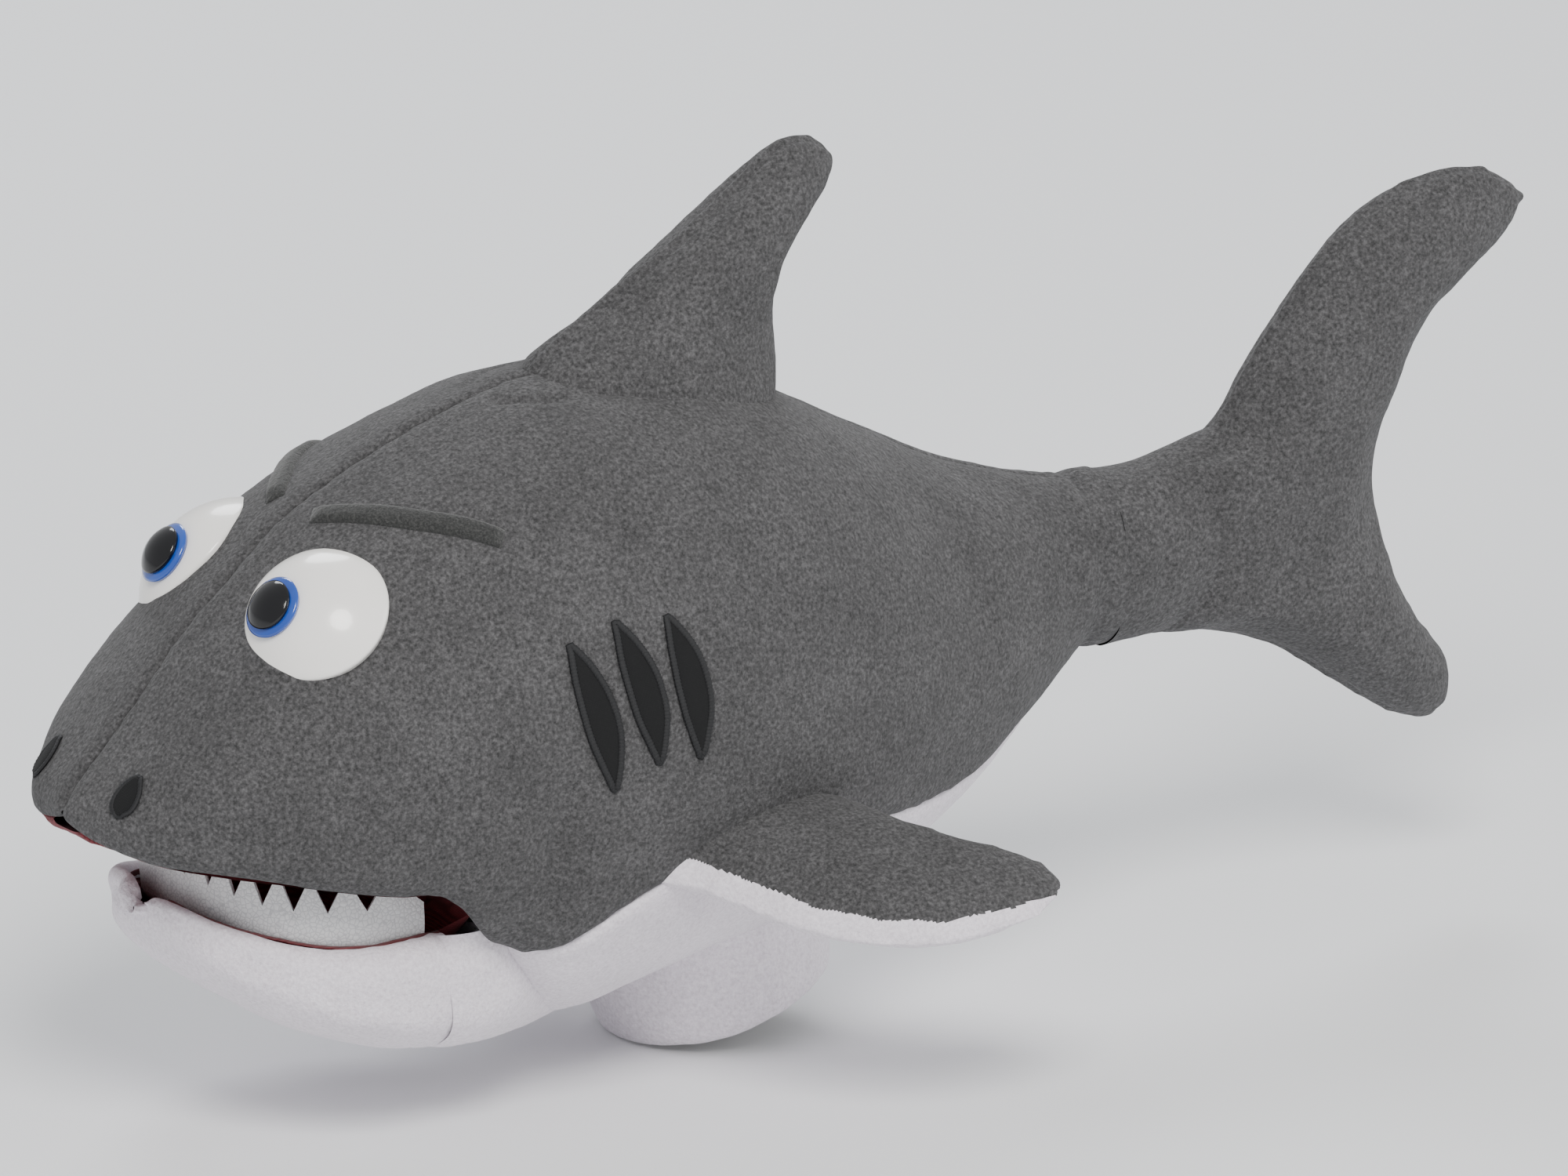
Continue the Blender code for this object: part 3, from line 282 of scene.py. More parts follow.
BODY_SHARES = [
    (0.000, 0.492, 0.000, 0.478, 0.012, 0.45, 2.0, 2.0),
    (0.012, 0.530, 0.012, 0.447, 0.300, 0.45, 2.0, 3.0),
    (0.041, 0.585, 0.040, 0.425, 0.470, 0.42, 2.0, 4.5),
    (0.076, 0.652, 0.080, 0.412, 0.620, 0.38, 2.1, 6.0),
    (0.120, 0.736, 0.130, 0.392, 0.745, 0.34, 2.1, 6.0),
    (0.170, 0.820, 0.184, 0.366, 0.825, 0.32, 2.1, 6.0),
    (0.222, 0.894, 0.232, 0.342, 0.880, 0.32, 2.1, 5.5),
    (0.274, 0.945, 0.279, 0.322, 0.920, 0.34, 2.1, 4.5),
    (0.322, 0.982, 0.326, 0.263, 0.945, 0.38, 2.1, 4.0),
    (0.364, 1.008, 0.361, 0.158, 0.970, 0.42, 2.1, 3.0),
    (0.408, 1.030, 0.402, 0.074, 0.988, 0.44, 2.1, 2.4),
    (0.456, 1.046, 0.457, 0.045, 1.000, 0.45, 2.1, 2.1),
    (0.514, 1.048, 0.516, 0.066, 0.994, 0.45, 2.1, 2.1),
    (0.584, 1.030, 0.582, 0.092, 0.962, 0.45, 2.1, 2.1),
    (0.654, 0.992, 0.654, 0.112, 0.900, 0.45, 2.1, 2.1),
    (0.720, 0.940, 0.726, 0.138, 0.815, 0.45, 2.1, 2.1),
    (0.784, 0.878, 0.794, 0.175, 0.705, 0.45, 2.0, 2.0),
    (0.848, 0.816, 0.858, 0.232, 0.585, 0.46, 2.0, 2.0),
    (0.908, 0.768, 0.918, 0.320, 0.465, 0.48, 2.0, 2.0),
    (0.960, 0.738, 0.966, 0.390, 0.370, 0.50, 2.0, 2.0),
    (1.000, 0.722, 1.000, 0.440, 0.310, 0.50, 2.0, 2.0),
]

SEAM_SHARES = [0.300, 0.245, 0.265, 0.315, 0.345, 0.352, 0.345, 0.332, 0.325, 0.338, 0.380, 0.420, 0.455]
HOLLOW_SHARES = [0.0, 0.0, 0.2, 0.65, 0.95, 1.0, 0.8, 0.3] + [0.0] * 13

JAW_SHARES = [
    (0.000, 0.000, 0.085, 0.855, 0.965),
    (0.165, 0.030, 0.215, 0.862, 0.998),
    (0.345, 0.105, 0.385, 0.855, 0.990),
    (0.500, 0.200, 0.530, 0.860, 0.935),
    (0.640, 0.320, 0.655, 0.885, 0.845),
    (0.770, 0.450, 0.775, 0.925, 0.705),
    (0.880, 0.590, 0.872, 0.968, 0.520),
    (0.955, 0.740, 0.945, 1.010, 0.320),
    (0.992, 0.880, 0.988, 0.985, 0.120),
    (1.000, 0.925, 1.000, 0.945, 0.012),
]
JAW_HOLLOWS = [1.0, 1.0, 1.0, 1.0, 0.92, 0.7, 0.35, 0.0, 0.0, 0.0]

DORSAL_SHARES = [
    (0.000, 0.171, 0.768, -0.049, 0.26),
    (0.044, 0.290, 0.781, 0.110, 0.32),
    (0.130, 0.390, 0.788, 0.220, 0.72),
    (0.205, 0.465, 0.793, 0.310, 0.94),
    (0.312, 0.561, 0.799, 0.390, 1.00),
    (0.500, 0.720, 0.830, 0.537, 0.90),
    (0.661, 0.866, 0.884, 0.659, 0.77),
    (0.786, 0.976, 0.946, 0.768, 0.57),
    (0.884, 0.994, 0.982, 0.878, 0.27),
]
PECTORAL_SHARES = [
    (-0.040, -0.020, 0.220, 0.750, 0.30),
    (0.085, 0.000, 0.290, 0.800, 0.34),
    (0.155, -0.030, 0.335, 0.830, 0.72),
    (0.243, -0.077, 0.400, 0.827, 1.00),
    (0.417, -0.163, 0.539, 0.731, 1.00),
    (0.583, -0.154, 0.696, 0.683, 0.90),
    (0.739, -0.077, 0.835, 0.673, 0.75),
    (0.896, 0.135, 0.939, 0.635, 0.55),
    (0.991, 0.346, 1.000, 0.538, 0.25),
]
TAIL_SHARES = [
    (0.757, 0.009, 0.801, 0.037, 0.17),
    (0.656, 0.031, 0.793, 0.111, 0.50),
    (0.504, 0.111, 0.736, 0.179, 0.72),
    (0.337, 0.196, 0.685, 0.259, 0.89),
    (0.163, 0.247, 0.649, 0.344, 0.94),
    (0.004, 0.281, 0.627, 0.429, 0.94),
    (0.000, 0.429, 0.627, 0.503, 1.00),
    (0.011, 0.554, 0.641, 0.548, 0.94),
    (0.178, 0.599, 0.678, 0.616, 0.89),
    (0.322, 0.753, 0.750, 0.724, 0.78),
    (0.525, 0.923, 0.844, 0.793, 0.67),
    (0.728, 0.991, 0.938, 0.855, 0.50),
    (0.888, 0.986, 0.996, 0.918, 0.22),
]
# The left pectoral fin's directions of span and chord.
PECTORAL_AXES = ((0.735, -0.664, -0.139), (0.653, 0.641, 0.390))


def body_form():
    stations, angles = [], []
    for row, (a, b, c, d, half, middle, above, below) in enumerate(BODY_SHARES):
        top, bottom = on_body(a, 0, b), on_body(c, 0, d)
        half *= BODY_WIDTH / 2
        stations.append((top.x, top.z, bottom.x, bottom.z, half, middle, above, below))
        if row < THROAT:
            share = max(half - UPPER_LIP, 0.3 * half) / half
            angles.append(math.pi - math.asin(share ** (below / 2)))
        else:
            middle_z = bottom.z + (top.z - bottom.z) * middle
            share = (middle_z - SEAM_SHARES[row - THROAT] * BODY_HEIGHT) / (middle_z - bottom.z)
            angles.append(math.pi - math.acos(min(max(share, 0.02), 0.98) ** (below / 2)))
    return Form(stations, LAST_COLUMN, angles=angles, hollows=[s * PALATE_RISE for s in HOLLOW_SHARES])


def stations_from(shares, x, length, z, height, half, shape):
    return [
        (x + a * length, z + b * height, x + c * length, z + d * height, e * half, *shape)
        for a, b, c, d, e in shares
    ]


JAW_BACK = on_body(0.3095, 0, 0.050)


def jaw_form():
    shape = (0.52, 2.3, 5.0)
    stations = stations_from(JAW_SHARES, JAW_BACK.x, -JAW_LENGTH, JAW_BACK.z, JAW_DEPTH, JAW_WIDTH / 2, shape)
    angles = []
    for (*_, half, _, _, square), hollow in zip(stations, JAW_HOLLOWS):
        share = max(half - JAW_LIP, 0.3 * half) / half if hollow else 0.3
        angles.append(math.pi - math.asin(share ** (square / 2)))
    return Form(stations, LAST_COLUMN, angles=angles, hollows=[s * FLOOR_DEPTH for s in JAW_HOLLOWS])


# -------------------------------------------------------------------- builders


def mesh_piece(name, points, faces, look, levels=0):
    """A smooth-shaded piece from points in millimetres."""
    mesh = bpy.data.meshes.new(name)
    mesh.from_pydata([tuple(c * MM for c in p) for p in points], [], faces)
    tool = bmesh.new()
    tool.from_mesh(mesh)
    bmesh.ops.remove_doubles(tool, verts=tool.verts, dist=1e-6)
    bmesh.ops.recalc_face_normals(tool, faces=tool.faces)
    tool.to_mesh(mesh)
    tool.free()
    mesh.shade_smooth()
    mesh.materials.append(look)
    made = bpy.data.objects.new(name, mesh)
    bpy.context.scene.collection.objects.link(made)
    if levels:
        soft = made.modifiers.new("Soft", "SUBSURF")
        soft.levels = soft.render_levels = levels
    return made


def quads(rows, columns, closed=False):
    wide = columns if closed else columns - 1
    return [
        (i * columns + j, i * columns + (j + 1) % columns,
         (i + 1) * columns + (j + 1) % columns, (i + 1) * columns + j)
        for i in range(rows - 1)
        for j in range(wide)
    ]


def slab(rows, columns):
    """Faces of two sheets of points, the second after the first, with walls round their edges."""
    size, sheet = rows * columns, quads(rows, columns)
    edges = [(i * columns + k, (i + 1) * columns + k) for i in range(rows - 1) for k in (0, columns - 1)]
    edges += [(i * columns + k, i * columns + k + 1) for i in (0, rows - 1) for k in range(columns - 1)]
    walls = [(a, b, b + size, a + size) for a, b in edges]
    return sheet + [tuple(k + size for k in face) for face in sheet] + walls


def tube(rows, ring):
    """Faces of closed rings of points, with a cap on each end."""
    last = (rows - 1) * ring
    return quads(rows, ring, closed=True) + [tuple(range(ring)), tuple(range(last, last + ring))]


# The (height, breadth) of the stuffing's lumps and of the fabric's ripples, in millimetres.
LUMPS = ((0.9, 31.0), (0.30, 9.0), (0.12, 3.1))


def lumps(points, seed):
    """How far stuffing pushes the fabric out at each point: soft lumps and small ripples."""
    shift = Vector((seed * 13.7, seed * 5.1, seed * 9.3))
    return np.array([
        sum(height * noise.noise(Vector(p) / breadth + shift) for height, breadth in LUMPS)
        for p in points.reshape(-1, 3)
    ]).reshape(points.shape[:2])


def outward(grid, inside):
    """The unit normal at each grid point, turned away from the points inside."""
    along, across = np.gradient(grid, axis=0), np.gradient(grid, axis=1)
    normal = np.cross(along, across)
    normal /= np.linalg.norm(normal, axis=2, keepdims=True) + 1e-9
    facing = np.sum(normal * (grid - inside), axis=2)
    return normal * (1.0 if np.median(facing) > 0 else -1.0)


def creased(grid, creases):
    """The depth of sewn folds, each (points, depth, width), at each grid point."""
    depth = np.zeros(grid.shape[:2])
    for path, deep, wide in creases:
        near = np.full(grid.shape[:2], 1e9)
        for a, b in zip(path, path[1:]):
            a, b = np.array(a, float), np.array(b, float)
            t = np.clip(((grid - a) @ (b - a)) / ((b - a) @ (b - a)), 0, 1)
            near = np.minimum(near, np.linalg.norm(grid - (a + t[..., None] * (b - a)), axis=2))
        depth += deep * np.exp(-((near / wide) ** 2))
    return depth


PUFF_AT, PUFF_WIDTH, SEAM_WIDTH = 5.0, 4.0, 1.3


def seam_profile(distance, depth, puff=0.35):
    """A sewn edge: fabric dives into the seam and stands a little proud beside it."""
    proud = puff * np.exp(-(((distance - PUFF_AT) / PUFF_WIDTH) ** 2))
    return proud - depth * np.exp(-((distance / SEAM_WIDTH) ** 2))


def panel(name, grid, inside, look, seed, seams=(1.3, 1.3), creases=(), extra=None, tuck=2.4, keep_out=None):
    """A panel of fabric over a grid of points, sewn along its two long edges. A sewn edge is
    turned towards the inside by the tuck, or away from it if the tuck is negative."""
    grid = np.array(grid, float)
    normal = outward(grid, inside)
    steps = np.linalg.norm(np.diff(grid, axis=1), axis=2)
    run = np.concatenate([np.zeros((len(grid), 1)), np.cumsum(steps, axis=1)], axis=1)
    push = lumps(grid, seed) - creased(grid, creases)
    ripple = np.array([[0.75 + 0.5 * noise.noise(Vector(row[0]) / 5.0)] for row in grid])
    for distance, depth in ((run, seams[0]), (run[:, -1:] - run, seams[1])):
        if depth:
            push += seam_profile(distance, depth * ripple)
    if extra is not None:
        push += extra(grid, run)
    grid = grid + normal * push[..., None]
    first = grid[:, :1] - normal[:, :1] * tuck * bool(seams[0])
    final = grid[:, -1:] - normal[:, -1:] * tuck * bool(seams[1])
    grid = np.concatenate([first, grid, final], axis=1)
    rows, columns = grid.shape[:2]
    faces = quads(rows, columns)
    points = grid.reshape(-1, 3)
    if keep_out is not None:
        faces = [f for f in faces if not all(keep_out(points[k]) for k in f)]
    return mesh_piece(name, points, faces, look)


def spread(first, last, count):
    return [first + (last - first) * k / (count - 1) for k in range(count)]


def form_grid(form, rows, across):
    return [[form.at(r, c, s) for s, c in across] for r in rows]


body, jaw = body_form(), jaw_form()
BODY_INSIDE = np.array([-60.0, 0.0, 105.0])
JAW_INSIDE = np.array([-155.0, 0.0, 40.0])
SLEEVE_UP = vec(-math.sin(SLEEVE_LEAN), 0, math.cos(SLEEVE_LEAN))


def in_sleeve(p):
    p = Vector(p)
    along = p.dot(SLEEVE_UP)
    return along < 60.0 and (p - SLEEVE_UP * along).length < SLEEVE_RADIUS - 1.5


def lip_roll(height, wide):
    """A stuffed roll along the panel's far edge, with a shallow dip under it."""
    def push(grid, run):
        distance = run[:, -1:] - run
        roll = height * np.exp(-(((distance - wide * 0.55) / (wide * 0.45)) ** 2))
        return roll - 0.9 * np.exp(-(((distance - wide * 1.55) / 3.5) ** 2))
    return push


# The cheek's lobe hangs over the mouth's corner; a crease in the flank marks the dorsal fin's foot.
LOBE_X, LOBE_WIDTH, LOBE_OUT, LOBE_DROP = -117.0, 13.0, 3.0, 9.0
DORSAL_FOOT = ((-79.0, 9.0, 199.0), (-67.0, 16.0, 194.0), (-34.0, 19.0, 186.0), (3.5, 15.0, 182.0),
               (13.0, 8.0, 184.0))

# The head and trunk.
for side, word in ((-1, "left"), (1, "right")):
    rows = spread(0.0, float(CREASE), 241)
    across = [(side, c) for c in spread(0.0, float(SEAM_COLUMN), 96)]
    cheek = [((-96.5, side * 74.0, 96.7), (-99.5, side * 73.0, 80.0), (-100.7, side * 70.0, 62.5)), 2.2, 5.0]
    tail_end = [((106.0, side * 26.0, 134.0), (108.0, side * 27.0, 96.0)), 1.0, 5.0]
    flank = form_grid(body, rows, across)
    for row in flank:
        for (_, c), p in zip(across, row):
            lobe = math.exp(-(((p.x - LOBE_X) / LOBE_WIDTH) ** 2)) * (c / SEAM_COLUMN) ** 7
            p += vec(0, side * LOBE_OUT, -LOBE_DROP) * lobe
    seen = [q for row in flank[::3] for q in row]
    near = [
        min(seen, key=lambda q: (q - vec(x, side * y, z)).length)
        for x, y, z in DORSAL_FOOT
    ]
    flank = panel("cover_" + word + "_side", flank, BODY_INSIDE, GREY, 1 + side,
                  creases=(cheek, tail_end, (near, 1.5, 1.7)))
    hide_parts(word + "_side_panel", word + "_head_filling", word + "_trunk_filling")
    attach(flank, "body")

rows = spread(float(THROAT), float(CREASE), 150)
across = [(-1, c) for c in spread(float(SEAM_COLUMN), float(LAST_COLUMN), 50)]
across += [(1, c) for _, c in reversed(across[:-1])]
belly = panel("cover_belly", form_grid(body, rows, across), BODY_INSIDE, WHITE, 5, keep_out=in_sleeve)
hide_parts("belly_panel")
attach(belly, "body")

rows = spread(0.6, float(THROAT) - 0.05, 70)
roof = panel("cover_palate", form_grid(body, rows, across), BODY_INSIDE, RED, 7, seams=(0.8, 0.8), tuck=1.5)
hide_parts("palate_lining")
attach(roof, "body")

# The lower jaw.
rows = spread(0.0, float(jaw.last), 110)
around = [(-1, c) for c in spread(float(SEAM_COLUMN), 0.0, 70)]
around += [(1, c) for _, c in reversed(around[:-1])]
both_lips = lip_roll(2.0, 10.0)


def lips(grid, run):
    mirrored = run[:, -1:] - run
    return both_lips(grid, run) + both_lips(grid, mirrored)


chin = panel("cover_lower_jaw", form_grid(jaw, rows, around), JAW_INSIDE, WHITE, 9, extra=lips)
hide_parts("lower_jaw_skin", "jaw_filling")
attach(chin, "lower_jaw")

rows = spread(0.0, float(jaw.last) - 2.2, 60)
tongue = panel("cover_mouth_floor", form_grid(jaw, rows, across), JAW_INSIDE, RED, 11,
               seams=(0.8, 0.8), tuck=-1.5)
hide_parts("mouth_floor")
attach(tongue, "lower_jaw")

# The lining behind the mouth and the fold of plush under it span from the head to the jaw.
grid = []
for t in spread(0.0, 1.0, 22):
    row = []
    for side, c in across:
        top, foot = body.at(THROAT - 0.9, c, side), jaw.at(0.02, c, side)
        row.append(top.lerp(foot, t) + vec(9.0 * math.sin(math.pi * t), 0, 0))
    grid.append(row)
back = panel("cover_mouth_back", grid, JAW_INSIDE + np.array([-60.0, 0, 0]), RED, 13, seams=(0, 0))
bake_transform(back)

grid = []
for t in spread(0.0, 1.0, 26):
    row = []
    for side, c in [(-1, k) for k in spread(6.0, 0.0, 44)] + [(1, k) for k in spread(0.0, 6.0, 44)[1:]]:
        turn = c / 6
        near = jaw.at(0.45, c * 5.9 / 6, side)
        far = body.at(12.0 - 3.9 * turn, LAST_COLUMN - 4 * turn, side)
        down = vec(0, side * turn, -(1.1 - turn)).normalized()
        row.append(near.lerp(far, t) - down * 0.4 + down * (3.6 * math.sin(math.pi * t) ** 0.7))
    grid.append(row)
throat = panel("cover_throat", grid, np.array([-110.0, 0, 40.0]), WHITE, 15, seams=(0, 0))
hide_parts("throat_gusset")
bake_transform(throat)

# The sleeve, with its edge rolled in.
SLEEVE_SIDES = 160
grid = []
profile = [
    (SLEEVE_RADIUS + out, along)
    for out, along in (
        (-1.0, SLEEVE_LENGTH + 4.0), (0.2, 30.0), (0.5, 18.0), (0.3, 8.0), (-0.1, 3.0), (-1.2, 0.4),
        (-2.4, 0.2), (-3.6, 2.6), (-SLEEVE_WALL, 12.0), (-SLEEVE_WALL, SLEEVE_LENGTH),
    )
]
side_way = SLEEVE_UP.cross(vec(0, 1, 0)).normalized()
for k in spread(0.0, len(profile) - 1.0, 90):
    radius, along = smooth_between(profile, k)
    row = []
    for j in range(SLEEVE_SIDES + 1):
        turn = 2 * math.pi * j / SLEEVE_SIDES
        level = SLEEVE_UP * along + vec(0, radius * math.cos(turn), 0)
        row.append(level + side_way * (radius * math.sin(turn)))
    grid.append(row)
cuff = panel("cover_sleeve", grid, np.array([0.0, 0, 20.0]), WHITE, 17, seams=(0, 0))
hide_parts("sleeve_cuff")
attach(cuff, "body")


# ------------------------------------------------------------------------ fins


def closed_form(name, form, look, rows=46, columns=28):
    points = []
    for r in spread(0.0, float(form.last), rows):
        points += [form.at(r, c, -1) for c in spread(0.0, float(form.columns), columns)]
        points += [form.at(r, c, 1) for c in spread(float(form.columns), 0.0, columns)[1:-1]]
    return mesh_piece(name, points, tube(rows, 2 * columns - 2), look)


def apply_modifiers(piece):
    graph = bpy.context.evaluated_depsgraph_get()
    made = bpy.data.meshes.new_from_object(piece.evaluated_get(graph), depsgraph=graph)
    piece.modifiers.clear()
    old, piece.data = piece.data, made
    bpy.data.meshes.remove(old)
    made.shade_smooth()


CLOTH_FRAMES = 20


def stuffed(piece, held, cap=3.0, voxel=3.6, pressure=4.0):
    """The piece blown up as sewn cloth, never further than the cap in millimetres and
    not at all where held() gives 1, then subdivided."""
    grain = piece.modifiers.new("Grain", "REMESH")
    grain.mode, grain.voxel_size = "VOXEL", voxel * MM
    apply_modifiers(piece)
    rest = np.array([v.co for v in piece.data.vertices])
    cloth = piece.modifiers.new("Cloth", "CLOTH")
    cloth.settings.use_pressure = True
    cloth.settings.uniform_pressure_force = pressure
    cloth.settings.effector_weights.gravity = 0.0
    cloth.settings.quality = 5
    for moment in range(1, CLOTH_FRAMES + 1):
        bpy.context.scene.frame_set(moment)
    apply_modifiers(piece)
    bpy.context.scene.frame_set(1)
    blown = np.array([v.co for v in piece.data.vertices])
    move = blown - rest
    length = np.linalg.norm(move, axis=1, keepdims=True) + 1e-12
    free = np.array([[1.0 - held(Vector(p) / MM)] for p in rest])
    rest = rest + move * np.minimum(1.0, cap * MM / length) * free
    piece.data.vertices.foreach_set("co", rest.ravel())
    soft = piece.modifiers.new("Soft", "SUBSURF")
    soft.levels = soft.render_levels = 2
    apply_modifiers(piece)


def welted(piece, across, seed, welt=0.8):
    """Lumps over the piece, and a welt between two stitched lines along its seam.
    across() gives the distance from the seam's plane in millimetres, and its direction."""
    mesh = piece.data
    count = len(mesh.vertices)
    co, normal = np.empty(count * 3), np.empty(count * 3)
    mesh.vertices.foreach_get("co", co)
    mesh.vertices.foreach_get("normal", normal)
    co, normal = co.reshape(-1, 3) / MM, normal.reshape(-1, 3)
    away, plane = across(co)
    edge = np.clip(1.0 - 1.6 * np.abs(normal @ plane), 0.0, 1.0)
    push = lumps(co[None], seed)[0] * 0.8
    ridge = np.exp(-((away / SEAM_WIDTH) ** 2))
    line = welt * ridge - welt * np.exp(-(((np.abs(away) - 2.6) / 1.0) ** 2))
    push += line * edge
    co += normal * push[:, None]
    mesh.vertices.foreach_set("co", (co * MM).ravel())
    mesh.update()


def thickened(shares, grow):
    """Shares with the half thickness of the first rows replaced, so the root flares."""
    return [(*row[:4], grow[i]) if i < len(grow) else row for i, row in enumerate(shares)]


# Where the dorsal and the left pectoral fin sit, in shares of the body, and how far towards
# the nose the pectoral is then moved, as a share of its chord.
DORSAL_AT, PECTORAL_AT, PECTORAL_FORWARD = (0.4545, 0, 0.926), (0.481, -0.868, 0.346), 0.1

dorsal_at = on_body(*DORSAL_AT)
length, height, thick = DORSAL
shares = thickened(DORSAL_SHARES, (1.95, 1.72, 1.36, 1.10))
form = Form(stations_from(shares, 0, length, 0, height, thick / 2 - 1.2, (0.5, 2.0, 2.0)), 6,
            place=Matrix.Translation(dorsal_at))
dorsal = closed_form("cover_dorsal", form, GREY)
base_z = dorsal_at.z + 22.0
stuffed(dorsal, lambda p: min(max((base_z + 10.0 - p.z) / 14.0, 0.0), 1.0), cap=2.4)
welted(dorsal, lambda co: (co[:, 1], np.array([0.0, 1.0, 0.0])), 21)
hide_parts("dorsal_filling", "dorsal_left_panel", "dorsal_right_panel")
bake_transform(dorsal)

span, chord = (Vector(axis).normalized() for axis in PECTORAL_AXES)
flat = chord.cross(span)
frame_of_fin = Matrix((span, flat, chord)).transposed().to_4x4()
pectoral_at = on_body(*PECTORAL_AT) - chord * (PECTORAL_FORWARD * PECTORAL[1])
length, height, thick = PECTORAL
for mirror, word in ((False, "left"), (True, "right")):
    shares = thickened(PECTORAL_SHARES, (1.0, 1.0, 1.02))
    form = Form(stations_from(shares, 0, length, 0, height, thick / 2 - 1.0, (0.5, 2.0, 2.0)), 6,
                place=Matrix.Translation(pectoral_at) @ frame_of_fin, mirror=mirror)
    fin = closed_form("cover_" + word + "_pectoral", form, GREY)
    sign = -1.0 if mirror else 1.0
    away = Vector((span.x, span.y * sign, span.z))
    root = Vector((pectoral_at.x, pectoral_at.y * sign, pectoral_at.z))
    plane = np.array([flat.x, flat.y * sign, flat.z])
    stuffed(fin, lambda p: min(max((30.0 - (p - root).dot(away)) / 14.0, 0.0), 1.0), cap=2.2)
    welted(fin, lambda co: ((co - np.array(root)) @ plane, plane), 23 + sign, welt=0.5)
    # The fin's underside is white plush: its faces become a piece of their own.
    under = fin.copy()
    under.data = fin.data.copy()
    under.name = "cover_" + word + "_pectoral_under"
    bpy.context.scene.collection.objects.link(under)
    for piece, keep_upper in ((fin, True), (under, False)):
        tool = bmesh.new()
        tool.from_mesh(piece.data)
        up = Vector(plane) if plane[2] > 0 else -Vector(plane)
        along_chord = Vector((chord.x, chord.y * sign, chord.z))
        gone = []
        for face in tool.faces:
            p = face.calc_center_median() / MM - root
            front = np.interp(p.dot(away), [r[0] * length for r in shares], [r[1] * height for r in shares])
            upper = p.dot(up) > 0 and p.dot(along_chord) - front > 5.5
            if upper != keep_upper:
                gone.append(face)
        bmesh.ops.delete(tool, geom=gone, context="FACES")
        tool.to_mesh(piece.data)
        tool.free()
    under.data.materials.clear()
    under.data.materials.append(WHITE)
    start = (root + away * 14.0) * MM
    end = (root + away * 34.0) * MM
    for piece, slot_name in ((fin, "grey_fleece"), (under, "white_plush")):
        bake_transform(piece)
    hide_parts(word + "_pectoral_top", word + "_pectoral_filling")
    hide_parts(word + "_pectoral_underside")

tail_x = on_body(1.0, 0, 0).x + JOINT_GAP + STOCK_LENGTH + JOINT_GAP
length, height, thick = TAIL_FIN
form = Form(stations_from(TAIL_SHARES, 0, length, 0, height, thick / 2 - 1.0, (0.5, 2.0, 2.0)), 6,
            place=Matrix.Translation(vec(tail_x, 0, 0.192 * BODY_HEIGHT)))
tail = closed_form("cover_tail_fin", form, GREY, rows=64)
stuffed(tail, lambda p: min(max((tail_x + 10.0 - p.x) / 10.0, 0.0), 0.8), cap=2.2)
welted(tail, lambda co: (co[:, 1], np.array([0.0, 1.0, 0.0])), 27, welt=0.6)
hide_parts("tail_fin_filling", "tail_fin_left_panel", "tail_fin_right_panel")
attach(tail, "tail_fin")


# The stock in two lengths, each creased across one of its joints. Its stops are
# (x, top, bottom, half width) in millimetres, and the two lengths meet at STOCK_MIDDLE.
STOCK_SIDES = 96
STOCK_MIDDLE = (131.3, 137.0, 83.5, 20.6)


def stock_piece(name, stops, seed, fold):
    grid = []
    for k in spread(0.0, len(stops) - 1.0, 40):
        x, high, low, half = smooth_between(stops, k)
        row = []
        for j in range(STOCK_SIDES + 1):
            turn = 2 * math.pi * j / STOCK_SIDES
            up = math.cos(turn)
            row.append(vec(x, half * math.sin(turn), (high + low) / 2 + (high - low) / 2 * up))
        grid.append(row)
    folds = [
        (((fold + 1.5, side * 20.0, 124.0), (fold, side * 21.0, 108.0), (fold - 1.0, side * 19.0, 92.0)),
         1.3, 3.0)
        for side in (-1, 1)
    ]
    made = panel(name, grid, np.array([x, 0, 110.0]), GREY, seed, seams=(0, 0), creases=folds)
    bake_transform(made)
    return made


front = stock_piece(
    "cover_tail_stock_front",
    [(110.0, 135.5, 85.5, 21.5), (115.0, 136.8, 84.2, 22.8), (118.6, 137.2, 83.8, 23.0),
     (121.5, 136.2, 84.6, 21.6), (126.0, 137.0, 83.5, 21.2), STOCK_MIDDLE],
    31, 117.0)
stock_piece(
    "cover_tail_stock_rear",
    [STOCK_MIDDLE, (140.0, 136.2, 84.0, 20.0), (150.0, 137.0, 84.0, 18.8),
     (160.0, 139.0, 84.0, 17.4), (170.0, 141.5, 84.5, 15.6), (184.0, 144.0, 87.0, 11.5)],
    33, 145.0)
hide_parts("tail_stock_filling", "tail_stock_left_panel", "tail_stock_right_panel")


# ---------------------------------------------------------------- teeth and eyes


STRIP_THICK, STRIP_INSET, STRIP_FOOT = 1.2, 2.0, 5.5


